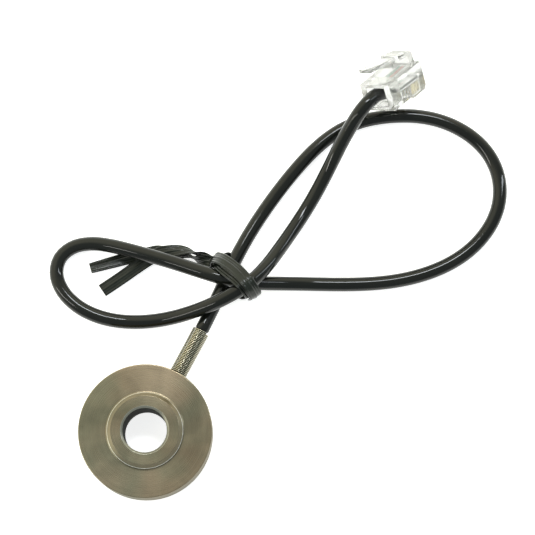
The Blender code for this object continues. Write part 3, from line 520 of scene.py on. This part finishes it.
def clear_plastic():
    """Clear polycarbonate, slightly milky, with a light wear haze."""
    material, shader = new_material("clear_plastic")
    place = place_of(material)
    milk = mottled(material, place, 260.0, 2.0)
    colour = ramp(material, milk, [(0.3, (0.73, 0.74, 0.70)), (0.7, (0.86, 0.86, 0.83))])
    link(material, colour, shader.inputs["Base Color"])
    shader.inputs["Transmission Weight"].default_value = 0.86
    shader.inputs["IOR"].default_value = 1.30
    wear = mottled(material, place, 700.0, 3.0)
    link(material, ramp(material, wear, [(0.4, (0.08,)), (0.8, (0.20,))]), shader.inputs["Roughness"])
    bump(material, shader, wear, 0.00002, 0.2)
    return material


def seen_directly(material):
    """1 for camera, glossy and transmission rays, and 0 for the rays that light a surface."""
    rays = node(material, "ShaderNodeLightPath").outputs
    seen = math_node(material, "MAXIMUM", rays["Is Camera Ray"], rays["Is Glossy Ray"])
    return math_node(material, "MAXIMUM", seen, rays["Is Transmission Ray"])


def floor_material():
    """Pale floor that camera, gloss and glass see as white, and that still keeps the shadows."""
    material = bpy.data.materials.new("floor")
    material.use_nodes = True
    material.node_tree.nodes.clear()
    diffuse = node(material, "ShaderNodeBsdfDiffuse", {"Color": FLOOR_COLOUR})
    strength = math_node(material, "MULTIPLY", seen_directly(material), FLOOR_GLOW)
    glow = node(material, "ShaderNodeEmission", {"Strength": strength})
    both = node(material, "ShaderNodeAddShader", {0: diffuse.outputs[0], 1: glow.outputs[0]})
    out = node(material, "ShaderNodeOutputMaterial")
    link(material, both.outputs[0], out.inputs["Surface"])
    return material


def heading_vector(heading, elevation):
    flat = math.cos(elevation)
    return Vector((flat * math.cos(heading), flat * math.sin(heading), math.sin(elevation)))


def make_world():
    """A room with a bright and a shaded side. Camera and glass see it white, and gloss partly so."""
    world = bpy.data.worlds.new("studio")
    bpy.context.scene.world = world
    world.use_nodes = True
    world.node_tree.nodes.clear()
    way = node(world, "ShaderNodeTexCoord").outputs["Generated"]
    bright_side = heading_vector(ROOM_HEADING, ROOM_LEAN)
    side = vector_node(world, "DOT_PRODUCT", way, bright_side)
    share = math_node(world, "MULTIPLY_ADD", side, 0.5, 0.5)
    shade = ramp(world, share, zip(ROOM_BLEND, (ROOM_DARK, ROOM_BRIGHT)))
    room = node(world, "ShaderNodeBackground", {"Color": shade, "Strength": ROOM_LIGHT})
    plain = node(world, "ShaderNodeBackground", {"Color": (1.0, 1.0, 1.0, 1.0), "Strength": 1.0})
    rays = node(world, "ShaderNodeLightPath").outputs
    through = math_node(world, "MAXIMUM", rays["Is Transmission Ray"], rays["Transmission Depth"])
    seen = math_node(world, "MAXIMUM", rays["Is Camera Ray"], through)
    seen = math_node(world, "MULTIPLY_ADD", rays["Is Glossy Ray"], GLOSS_SHARE, seen)
    seen = math_node(world, "MINIMUM", seen, 1.0)
    both = node(world, "ShaderNodeMixShader", {0: seen, 1: room.outputs[0], 2: plain.outputs[0]})
    out = node(world, "ShaderNodeOutputWorld")
    link(world, both.outputs[0], out.inputs["Surface"])


def make_camera():
    camera = bpy.data.cameras.new("camera")
    camera.sensor_width = SENSOR_WIDTH
    camera.lens = FOCAL_PIXELS / IMAGE_WIDTH * SENSOR_WIDTH
    camera.clip_start = 0.01
    obj = bpy.data.objects.new("camera", camera)
    bpy.context.scene.collection.objects.link(obj)
    back = Vector((0.0, -math.sin(CAMERA_TILT), math.cos(CAMERA_TILT)))
    obj.location = Vector(CAMERA_TARGET) + back * CAMERA_DISTANCE
    obj.rotation_euler = (CAMERA_TILT, 0.0, 0.0)
    bpy.context.scene.camera = obj


def make_light(name, heading, elevation, turn, size, power, colour):
    """A rectangular lamp that faces the object. Its second side runs up and down before its turn."""
    light = bpy.data.lights.new(name, "AREA")
    light.shape = "RECTANGLE"
    light.size, light.size_y = size
    light.energy = power
    light.color = colour
    obj = bpy.data.objects.new(name, light)
    bpy.context.scene.collection.objects.link(obj)
    away = heading_vector(heading, elevation)
    obj.location = Vector(CAMERA_TARGET) + away * LAMP_DISTANCE
    obj.rotation_euler = (away.to_track_quat("Z", "Y") @ Quaternion((0.0, 0.0, 1.0), turn)).to_euler()


def make_stage():
    mesh = bpy.data.meshes.new("floor")
    half = FLOOR_SIZE / 2
    corners = [(-half, -half, 0.0), (half, -half, 0.0), (half, half, 0.0), (-half, half, 0.0)]
    mesh.from_pydata(corners, [], [(0, 1, 2, 3)])
    floor = bpy.data.objects.new("floor", mesh)
    bpy.context.scene.collection.objects.link(floor)
    mesh.materials.append(floor_material())
    make_light("glow", *GLOW_LAMP)
    make_light("cool", *COOL_LAMP)
    make_light("warm", *WARM_LAMP)


def piece(name, data, material, replaced):
    """A detailed piece that stands for CAD nodes and takes its finish from a slot."""
    obj = bpy.data.objects.new(name, data)
    bpy.context.scene.collection.objects.link(obj)
    data.materials.clear()
    data.materials.append(material)
    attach(obj, "root")
    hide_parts(*replaced)
    return obj


def helper(name, mesh):
    """A blank or a cutter for Booleans. It is removed once they are made."""
    obj = bpy.data.objects.new(name, mesh)
    bpy.context.scene.collection.objects.link(obj)
    return obj


def cut_mesh(mesh, cuts, bevel=None):
    """The mesh after a list of (cutter mesh, operation) Booleans and a bevel of its sharp edges."""
    obj = helper("blank", mesh)
    cutters = []
    for number, (cutter, operation) in enumerate(cuts):
        tool = helper(f"tool_{number}", cutter)
        cutters.append(tool)
        modifier = obj.modifiers.new(f"cut_{number}", "BOOLEAN")
        modifier.operation = operation
        modifier.solver = "EXACT"
        modifier.object = tool
    if bevel:
        modifier = obj.modifiers.new("edges", "BEVEL")
        modifier.width = bevel
        modifier.segments = 2
        modifier.limit_method = "ANGLE"
        modifier.angle_limit = math.radians(50)
        modifier.harden_normals = True
    bpy.context.view_layer.update()
    graph = bpy.context.evaluated_depsgraph_get()
    result = bpy.data.meshes.new_from_object(obj.evaluated_get(graph))
    for used in [obj, *cutters]:
        bpy.data.objects.remove(used, do_unlink=True)
    return result


def mesh_of(name, form):
    """A mesh from a bmesh, with its faces turned outwards. The bmesh is freed."""
    bmesh.ops.recalc_face_normals(form, faces=form.faces)
    mesh = bpy.data.meshes.new(name)
    form.to_mesh(mesh)
    form.free()
    return mesh


def box_mesh(size, centre=(0.0, 0.0, 0.0)):
    form = bmesh.new()
    bmesh.ops.create_cube(form, size=1.0)
    bmesh.ops.scale(form, vec=size, verts=form.verts)
    bmesh.ops.translate(form, vec=centre, verts=form.verts)
    return mesh_of("box", form)


def cylinder_mesh(diameter, start, end, segments=48):
    start, end = Vector(start), Vector(end)
    form = bmesh.new()
    sizes = {"radius1": diameter / 2, "radius2": diameter / 2, "depth": (end - start).length}
    bmesh.ops.create_cone(form, cap_ends=True, segments=segments, **sizes)
    turn = (end - start).to_track_quat("Z", "Y").to_matrix().to_4x4()
    bmesh.ops.transform(form, matrix=Matrix.Translation((start + end) / 2) @ turn, verts=form.verts)
    return mesh_of("cylinder", form)


def rounded(corners):
    """A closed profile from (radius, height, fillet) corners, with close support points."""
    profile = []
    for i, (x, z, fillet) in enumerate(corners):
        here = Vector((x, z))
        if not fillet:
            profile.append((x, z))
            continue
        before = Vector(corners[i - 1][:2])
        after = Vector(corners[(i + 1) % len(corners)][:2])
        to_a, to_b = (before - here).normalized(), (after - here).normalized()
        half = to_a.angle(to_b) / 2
        run = fillet / math.tan(half)
        centre = here + (to_a + to_b).normalized() * (fillet / math.sin(half))
        start, end = here + to_a * run, here + to_b * run
        first, last = start - centre, end - centre
        turn = math.atan2(first.x * last.y - first.y * last.x, first.dot(last))
        profile.append(tuple(start + to_a * fillet * 0.2))
        steps = 5
        for step in range(steps + 1):
            angle = turn * step / steps
            c, s = math.cos(angle), math.sin(angle)
            spoke = Vector((first.x * c - first.y * s, first.x * s + first.y * c))
            profile.append(tuple(centre + spoke))
        profile.append(tuple(end + to_b * fillet * 0.2))
    return profile


def lathe(profile, steps):
    """A closed profile turned round Z."""
    form = bmesh.new()
    rings = []
    for step in range(steps):
        angle = math.tau * step / steps
        c, s = math.cos(angle), math.sin(angle)
        rings.append([form.verts.new((r * c, r * s, z)) for r, z in profile])
    for i, ring in enumerate(rings):
        following = rings[(i + 1) % steps]
        for j in range(len(profile)):
            k = (j + 1) % len(profile)
            form.faces.new((ring[j], following[j], following[k], ring[k]))
    return mesh_of("lathe", form)


def smooth_curve(points, steps=12):
    """Points of a Catmull-Rom curve through the given points, as vectors of their own size."""
    points = [Vector(point) for point in points]
    count = len(points)
    curve = []
    for i in range(count - 1):
        a, b = points[max(i - 1, 0)], points[i]
        c, d = points[i + 1], points[min(i + 2, count - 1)]
        for step in range(steps):
            t = step / steps
            square, cube = t**2, t**3
            bend = (2 * a - 5 * b + 4 * c - d) * square + (3 * b - a - 3 * c + d) * cube
            curve.append(0.5 * (2 * b + (c - a) * t + bend))
    curve.append(points[-1].copy())
    return curve


def evenly(points, spacing):
    """The curve's points again, at equal distances near the spacing."""
    lengths = [0.0]
    for a, b in zip(points, points[1:]):
        lengths.append(lengths[-1] + (b - a).length)
    count = max(2, round(lengths[-1] / spacing))
    result = []
    span = 0
    for i in range(count + 1):
        target = lengths[-1] * i / count
        while span < len(points) - 2 and lengths[span + 1] < target:
            span += 1
        share = (target - lengths[span]) / max(lengths[span + 1] - lengths[span], 1e-9)
        result.append(points[span].lerp(points[span + 1], min(max(share, 0.0), 1.0)))
    return result


def faired(points, rounds=5):
    """The points with small kinks taken out, and the curve's size kept. Both ends stay as they are."""
    for push in (0.5, -0.53) * rounds:
        moved = list(points)
        for i in range(3, len(points) - 5):
            middle = (points[i - 1] + points[i + 1]) / 2
            moved[i] = points[i].lerp(middle, push)
        points = moved
    return points


def way_at(points, i):
    """The direction of a curve at its point i, from the points beside it."""
    return (points[min(i + 1, len(points) - 1)] - points[max(i - 1, 0)]).normalized()


def polar(radius, angle, height):
    return Vector((radius * math.cos(angle), radius * math.sin(angle), height))


def exit_point(radius):
    return polar(radius, EXIT_ANGLE, EXIT_HEIGHT)


def plug_frame():
    turn = (
        Matrix.Rotation(PLUG_HEADING, 4, "Z")
        @ Matrix.Rotation(PLUG_PITCH, 4, "Y")
        @ Matrix.Rotation(PLUG_ROLL, 4, "X")
    )
    return Matrix.Translation(PLUG_REAR) @ turn


def tube(name, points, diameter, factors=None, bevel_resolution=6):
    """A round curve with filled caps along the points."""
    curve = bpy.data.curves.new(name, "CURVE")
    curve.dimensions = "3D"
    curve.bevel_depth = diameter / 2
    curve.bevel_resolution = bevel_resolution
    curve.use_fill_caps = True
    spline = curve.splines.new("POLY")
    spline.points.add(len(points) - 1)
    for i, (target, point) in enumerate(zip(spline.points, points)):
        target.co = (*point, 1.0)
        target.radius = factors[i] if factors else 1.0
    spline.use_smooth = True
    return curve


def make_body(material):
    """The turned disc with raised collar, its edges finely rounded, and its cable hole."""
    corners = [
        (COLLAR_RADIUS - COLLAR_CHAMFER, BODY_HEIGHT, FINE_ROUNDING),
        (COLLAR_RADIUS, BODY_HEIGHT - COLLAR_CHAMFER, COLLAR_EDGE_ROUNDING),
        (COLLAR_RADIUS, RIM_THICKNESS, COLLAR_ROOT_FILLET),
        (RIM_RADIUS, RIM_THICKNESS, EDGE_BREAK),
        (RIM_RADIUS, 0.0, EDGE_BREAK),
        (CAVITY_OUTER + COVER_LEDGE, 0.0, FINE_ROUNDING),
        (CAVITY_OUTER + COVER_LEDGE, COVER_SEAT, 0.0),
        (CAVITY_OUTER, COVER_SEAT, 0.0),
        (CAVITY_OUTER, CAVITY_TOP, CAVITY_FILLET),
        (CAVITY_INNER, CAVITY_TOP, CAVITY_FILLET),
        (CAVITY_INNER, COVER_SEAT, 0.0),
        (CAVITY_INNER - COVER_LEDGE, COVER_SEAT, 0.0),
        (CAVITY_INNER - COVER_LEDGE, 0.0, FINE_ROUNDING),
        (BORE_RADIUS, 0.0, EDGE_BREAK),
        (BORE_RADIUS, BODY_HEIGHT - BORE_CHAMFER, FINE_ROUNDING),
        (BORE_RADIUS + BORE_CHAMFER, BODY_HEIGHT, FINE_ROUNDING),
    ]
    mesh = lathe(rounded(corners), BODY_STEPS)
    ends = exit_point(FERRULE_OUTER), exit_point(RIM_RADIUS + EXIT_DIAMETER)
    mesh = cut_mesh(mesh, [(cylinder_mesh(EXIT_DIAMETER, *ends), "DIFFERENCE")])
    mesh.shade_smooth()
    mesh.set_sharp_from_angle(angle=math.radians(40))
    return piece("turned_body", mesh, material, ["sensing_body"])


def make_spring(material):
    """The close-wound strain relief, as one fine helix."""
    turn = polar(1.0, EXIT_ANGLE, 0.0).to_track_quat("Z", "Y").to_matrix().to_4x4()
    start = Matrix.Translation(exit_point(SPRING_START + SPRING_WIRE / 2)) @ turn
    turns = (SPRING_END - SPRING_START - SPRING_WIRE) / SPRING_PITCH
    count = round(turns * SPRING_STEPS)
    points = []
    for i in range(count + 1):
        angle = math.tau * turns * i / count
        rise = SPRING_PITCH * turns * i / count
        ring = (SPRING_RADIUS * math.cos(angle), SPRING_RADIUS * math.sin(angle), rise)
        points.append(start @ Vector(ring))
    curve = tube("wound_spring", points, SPRING_WIRE, bevel_resolution=3)
    return piece("wound_spring", curve, material, ["strain_relief_spring"])


def cord_points():
    """The points of the thin neck inside the spring and the disc, and those of the free cord."""
    frame = plug_frame()
    entry = frame @ Vector(PLUG_ENTRY)
    end = frame @ Vector((PLUG_JACKET_DEPTH, 0.0, PLUG_CORE_HEIGHT))
    route = [exit_point(SPRING_END + SEAT_GAP), *map(Vector, CORD_ROUTE), entry, end]
    coarse = faired(evenly(smooth_curve(route), CORD_CAD_SPACING))
    free = evenly(smooth_curve(coarse), CORD_STEP)
    neck = evenly([exit_point(CORD_START), exit_point(SPRING_END)], CORD_STEP)
    return neck, free


def make_cord(material):
    neck, free = cord_points()
    thin = CORD_NECK_DIAMETER / CORD_DIAMETER
    factors = [thin] * len(neck) + [1.0] * len(free)
    points = neck + free
    curve = tube("cable_jacket", points, CORD_DIAMETER, factors)
    cable = piece("cable_jacket", curve, material, ["cable"])
    return cable, sum((b - a).length for a, b in zip(points, points[1:]))


def tie_section():
    """The ribbon's section with its ribs and the swelling over its wire, as (across, out)."""
    half, edge = TIE_WIDTH / 2, TIE_EDGE_THICKNESS / 2
    swell = (TIE_CORE_THICKNESS - TIE_EDGE_THICKNESS) / 2
    upper = []
    thinnest = 0.00003
    for i in range(TIE_SECTION_STEPS + 1):
        across = half * (1 - 2 * i / TIE_SECTION_STEPS)
        share = across / half
        core = swell * math.exp(-((share / TIE_SWELL_WIDTH) ** 2))
        ribs = TIE_RIB * 0.5 * (math.cos(math.tau * TIE_RIBS_PER_HALF * share) - 1.0)
        rim = edge * max(0.0, 1 - abs(share) ** TIE_RIM_SHARPNESS) ** 0.5
        upper.append((across, max(rim + core + ribs, thinnest)))
    return upper + [(across, -out) for across, out in reversed(upper)]


def tie_ring():
    """Places and outward directions of the ribbon along its turns round the strands."""
    along = Vector((math.cos(TIE_RING_HEADING), math.sin(TIE_RING_HEADING), 0.0))
    axis = Vector((-along.y, along.x, 0.0))
    start = Vector((*TIE_RING_START, 0.0))
    points = [(u, v, z, math.radians(roll)) for u, v, z, roll in TIE_RING]
    path = smooth_curve(points, steps=7)
    stations = []
    for i, (u, v, z, roll) in enumerate(path):
        before, after = path[max(i - 1, 0)], path[min(i + 1, len(path) - 1)]
        way = Vector((after[0] - before[0], after[2] - before[2])).normalized()
        place = start + along * u + axis * v + Vector((0.0, 0.0, z))
        normal = along * way.y + Vector((0.0, 0.0, -way.x))
        stations.append((place, normal * math.cos(roll) + axis * math.sin(roll), None))
    return stations


def tie_bridge(before, after, steps=14):
    """Stations that carry the ribbon smoothly from the end of one stretch to the next.

    Its outward direction is carried along the bend, and any turn left over is shared out.
    """
    a_back, (a, a_out, a_way) = before[-2][0], before[-1]
    (b, b_out, b_way), b_ahead = after[0], after[1][0]
    reach = (b - a).length
    a_way = a_way or (a - a_back).normalized()
    b_way = b_way or (b_ahead - b).normalized()
    places = []
    for i in range(steps + 1):
        t = i / steps
        places.append(
            a * (2 * t**3 - 3 * t**2 + 1)
            + a_way * reach * (t**3 - 2 * t**2 + t)
            + b * (3 * t**2 - 2 * t**3)
            + b_way * reach * (t**3 - t**2)
        )
    ways = [a_way]
    for i in range(1, steps):
        ways.append((places[i + 1] - places[i - 1]).normalized())
    ways.append(b_way)
    outs = [a_out]
    for old, new in zip(ways, ways[1:]):
        outs.append(old.rotation_difference(new) @ outs[-1])
    last = outs[-1]
    left_over = math.atan2(last.cross(b_out).dot(b_way), last.dot(b_out))
    stations = []
    for i in range(1, steps):
        turn = Quaternion(ways[i], left_over * i / steps)
        stations.append((places[i], turn @ outs[i], ways[i]))
    return stations


def tie_twist(layer):
    """One layer of the twisted stretch: both layers turn together, faster towards the ring.

    Layer 1 runs towards the ring and layer -1 comes back from it.
    """
    line = smooth_curve(TIE_TWIST)
    stations = []
    for i, middle in enumerate(line):
        share = i / (len(line) - 1)
        way = way_at(line, i)
        side = way.cross(Vector((0.0, 0.0, 1.0))).normalized()
        up = side.cross(way)
        phase = math.tau * TIE_TWIST_TURNS * (1 - share) ** TIE_TWIST_EASE
        out = (up * math.cos(phase) + side * math.sin(phase)) * layer
        stations.append((middle + out * TIE_LAYER_OFFSET, out, way * -layer))
    return stations[::-1] if layer > 0 else stations


def tie_tail(points, roll):
    """A tail of the ribbon, flat at its start and rolled by the given angle at its end."""
    points = smooth_curve(points, steps=8)
    normals = []
    for i in range(len(points)):
        share = i / (len(points) - 1)
        side = way_at(points, i).cross(Vector((0.0, 0.0, 1.0))).normalized()
        angle = roll * share
        normals.append(Vector((0.0, 0.0, 1.0)) * math.cos(angle) + side * math.sin(angle))
    return [(place, out, None) for place, out in zip(points, normals)]


def make_tie(material):
    """The twist tie as one ribbon: tail, twist, two turns round the cord, twist, tail."""
    narrow = tie_tail(TIE_NARROW_TAIL, TIE_NARROW_TAIL_ROLL)
    stretches = [
        tie_tail(TIE_WIDE_TAIL, 0.0)[::-1],
        tie_twist(1.0),
        tie_ring(),
        tie_twist(-1.0),
        [(place, -out, way) for place, out, way in narrow],
    ]
    stations = stretches[0]
    for stretch in stretches[1:]:
        stations = stations + tie_bridge(stations, stretch) + stretch
    section = tie_section()
    places = [place for place, _, _ in stations]
    form = bmesh.new()
    rings = []
    for i, (place, out, way) in enumerate(stations):
        way = way or way_at(places, i)
        out = (out - way * out.dot(way)).normalized()
        across = way.cross(out)
        rings.append([form.verts.new(place + across * a + out * b) for a, b in section])
    for low, high in zip(rings, rings[1:]):
        for i in range(len(low)):
            j = (i + 1) % len(low)
            form.faces.new((low[i], low[j], high[j], high[i]))
    form.faces.new(rings[0][::-1])
    form.faces.new(rings[-1])
    mesh = mesh_of("ribbed_tie", form)
    mesh.shade_smooth()
    mesh.set_sharp_from_angle(angle=math.radians(60))
    return piece("ribbed_tie", mesh, material, ["cable_tie"])


def prism(outline, width):
    """A side outline of (x, z) points, extruded to the width along Y."""
    form = bmesh.new()
    rings = []
    for y in (-width / 2, width / 2):
        rings.append([form.verts.new((x, y, z)) for x, z in outline])
    form.faces.new(rings[0])
    form.faces.new(rings[1][::-1])
    for i in range(len(outline)):
        j = (i + 1) % len(outline)
        form.faces.new((rings[0][i], rings[1][i], rings[1][j], rings[0][j]))
    return mesh_of("prism", form)


def latch_outlines():
    """Side outlines of the latch: the wide base from the nose, and the narrow finger tab."""
    face = -PLUG_HEIGHT / 2
    nose = PLUG_LENGTH - LATCH_SETBACK
    heel = nose - LATCH_FOOT_LENGTH
    shoulder = PLUG_LENGTH - LATCH_SHOULDER_FROM_NOSE
    overlap = shoulder + LATCH_THICKNESS
    tip = -LATCH_OVERHANG
    slope = (LATCH_LIFT - LATCH_FOOT_HEIGHT) / (nose - tip)

    def outside(x):
        return face - LATCH_FOOT_HEIGHT - (nose - x) * slope

    base = [
        (heel, face + PLUG_NOSE_CHAMFER),
        (nose, face + PLUG_NOSE_CHAMFER),
        (nose, outside(nose) + LATCH_THICKNESS / 2),
        (nose - LATCH_THICKNESS / 2, outside(nose)),
        (shoulder, outside(shoulder) - LATCH_THICKNESS / 4),
        (shoulder, outside(shoulder) + LATCH_THICKNESS),
        (heel, outside(heel) + LATCH_THICKNESS),
    ]
    tab = [
        (overlap, outside(overlap) + 0.9 * LATCH_THICKNESS),
        (overlap, outside(overlap) + 0.1 * LATCH_THICKNESS),
        (tip, outside(tip)),
        (tip, outside(tip) + 0.8 * LATCH_THICKNESS),
    ]
    return base, tab


def make_plug_housing(material):
    """The clear housing with its latch, cable mouth, core channels and contact slots."""
    half = PLUG_HEIGHT / 2
    step_x = PLUG_LENGTH - PLUG_STEP_FROM_NOSE
    outline = [
        (0.0, -half),
        (PLUG_LENGTH - PLUG_NOSE_CHAMFER, -half),
        (PLUG_LENGTH, -half + PLUG_NOSE_CHAMFER),
        (PLUG_LENGTH, half - 1.5 * PLUG_NOSE_CHAMFER),
        (PLUG_LENGTH - PLUG_NOSE_CHAMFER, half),
        (step_x, half),
        (step_x, half - PLUG_STEP_DEPTH),
        (0.0, half - PLUG_STEP_DEPTH),
    ]
    base, tab = latch_outlines()
    blank = cut_mesh(
        prism(outline, PLUG_WIDTH),
        [(prism(base, LATCH_BASE_WIDTH), "UNION"), (prism(tab, LATCH_TAB_WIDTH), "UNION")],
        bevel=HOUSING_ROUNDING,
    )

    depth = PLUG_JACKET_DEPTH + 2 * SEAT_GAP
    size = (2 * depth, MOUTH_SIZE, MOUTH_SIZE)
    cuts = [(box_mesh(size, (0.0, 0.0, MOUTH_OFFSET)), "DIFFERENCE")]

    centre_x = RELIEF_POCKET_FROM_REAR + RELIEF_POCKET_LENGTH / 2
    size = (RELIEF_POCKET_LENGTH, RELIEF_POCKET_WIDTH, 2 * RELIEF_POCKET_DEPTH)
    cuts.append((box_mesh(size, (centre_x, 0.0, half - PLUG_STEP_DEPTH)), "DIFFERENCE"))

    channel_end = PLUG_LENGTH - PLUG_CORE_END_FROM_NOSE + SEAT_GAP
    for number in range(4):
        y = (number - 1.5) * PLUG_CORE_PITCH
        ends = ((depth / 2, y, PLUG_CORE_HEIGHT), (channel_end, y, PLUG_CORE_HEIGHT))
        cuts.append((cylinder_mesh(CHANNEL_DIAMETER, *ends, segments=24), "DIFFERENCE"))
        size = (CONTACT_LENGTH + 2 * SEAT_GAP, CONTACT_THICKNESS + CONTACT_PLAY, half + SEAT_GAP)
        centre = (CONTACT_MIDDLE, y, PLUG_CORE_HEIGHT + size[2] / 2)
        cuts.append((box_mesh(size, centre), "DIFFERENCE"))
    mesh = cut_mesh(blank, cuts)
    mesh.shade_smooth()
    mesh.set_sharp_from_angle(angle=math.radians(30))
    mesh.transform(plug_frame())
    return piece("clear_housing", mesh, material, ["plug_housing"])


def dress_nodes(nodes):
    """Give every CAD node that stays its own finish."""
    finishes = {
        "bottom_cover": turned_steel("cover_steel", COVER_DARK, COVER_LIGHT),
        "gauge_film": plain_plastic("gauge_film", (0.55, 0.30, 0.06), 0.35),
        "gauge_grid": plain_metal("gauge_foil", (0.60, 0.58, 0.54), 0.30),
        "terminal_board": plain_plastic("board", (0.04, 0.20, 0.08), 0.40),
        "solder_pad": plain_metal("brass", (0.70, 0.55, 0.28), 0.25),
        "trim_resistor": plain_plastic("resistor", (0.03, 0.03, 0.035), 0.50),
        "bridge_wire": plain_plastic("enamelled_copper", (0.50, 0.20, 0.08), 0.25, coat=0.5),
        "cable_ferrule": plain_metal("ferrule_brass", (0.70, 0.55, 0.28), 0.28),
        "plug_contact": plain_metal("contact_gold", (0.84, 0.74, 0.46), 0.26),
        "lead_red": plain_plastic("core_red", (0.55, 0.04, 0.02), 0.35),
        "lead_black": plain_plastic("core_black", (0.02, 0.02, 0.02), 0.35),
        "lead_green": plain_plastic("core_green", (0.03, 0.28, 0.10), 0.35),
        "lead_white": plain_plastic("core_white", (0.80, 0.80, 0.76), 0.35),
    }
    for name, obj in nodes.items():
        key = name.replace("plug_core_", "lead_").rstrip("_12345")  # drops a piece's number
        if key in finishes:
            obj.data.materials.clear()
            obj.data.materials.append(finishes[key])


bpy.context.scene.view_settings.view_transform = "Standard"
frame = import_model()
make_camera()
make_world()
make_stage()

cable, cable_length = make_cord(glossy_jacket())
make_body(turned_steel("body_steel", BODY_DARK, BODY_LIGHT, bored=True))
spring = make_spring(wound_wire())
tie = make_tie(tie_plastic())
housing = make_plug_housing(clear_plastic())
dress_nodes(frame["nodes"])
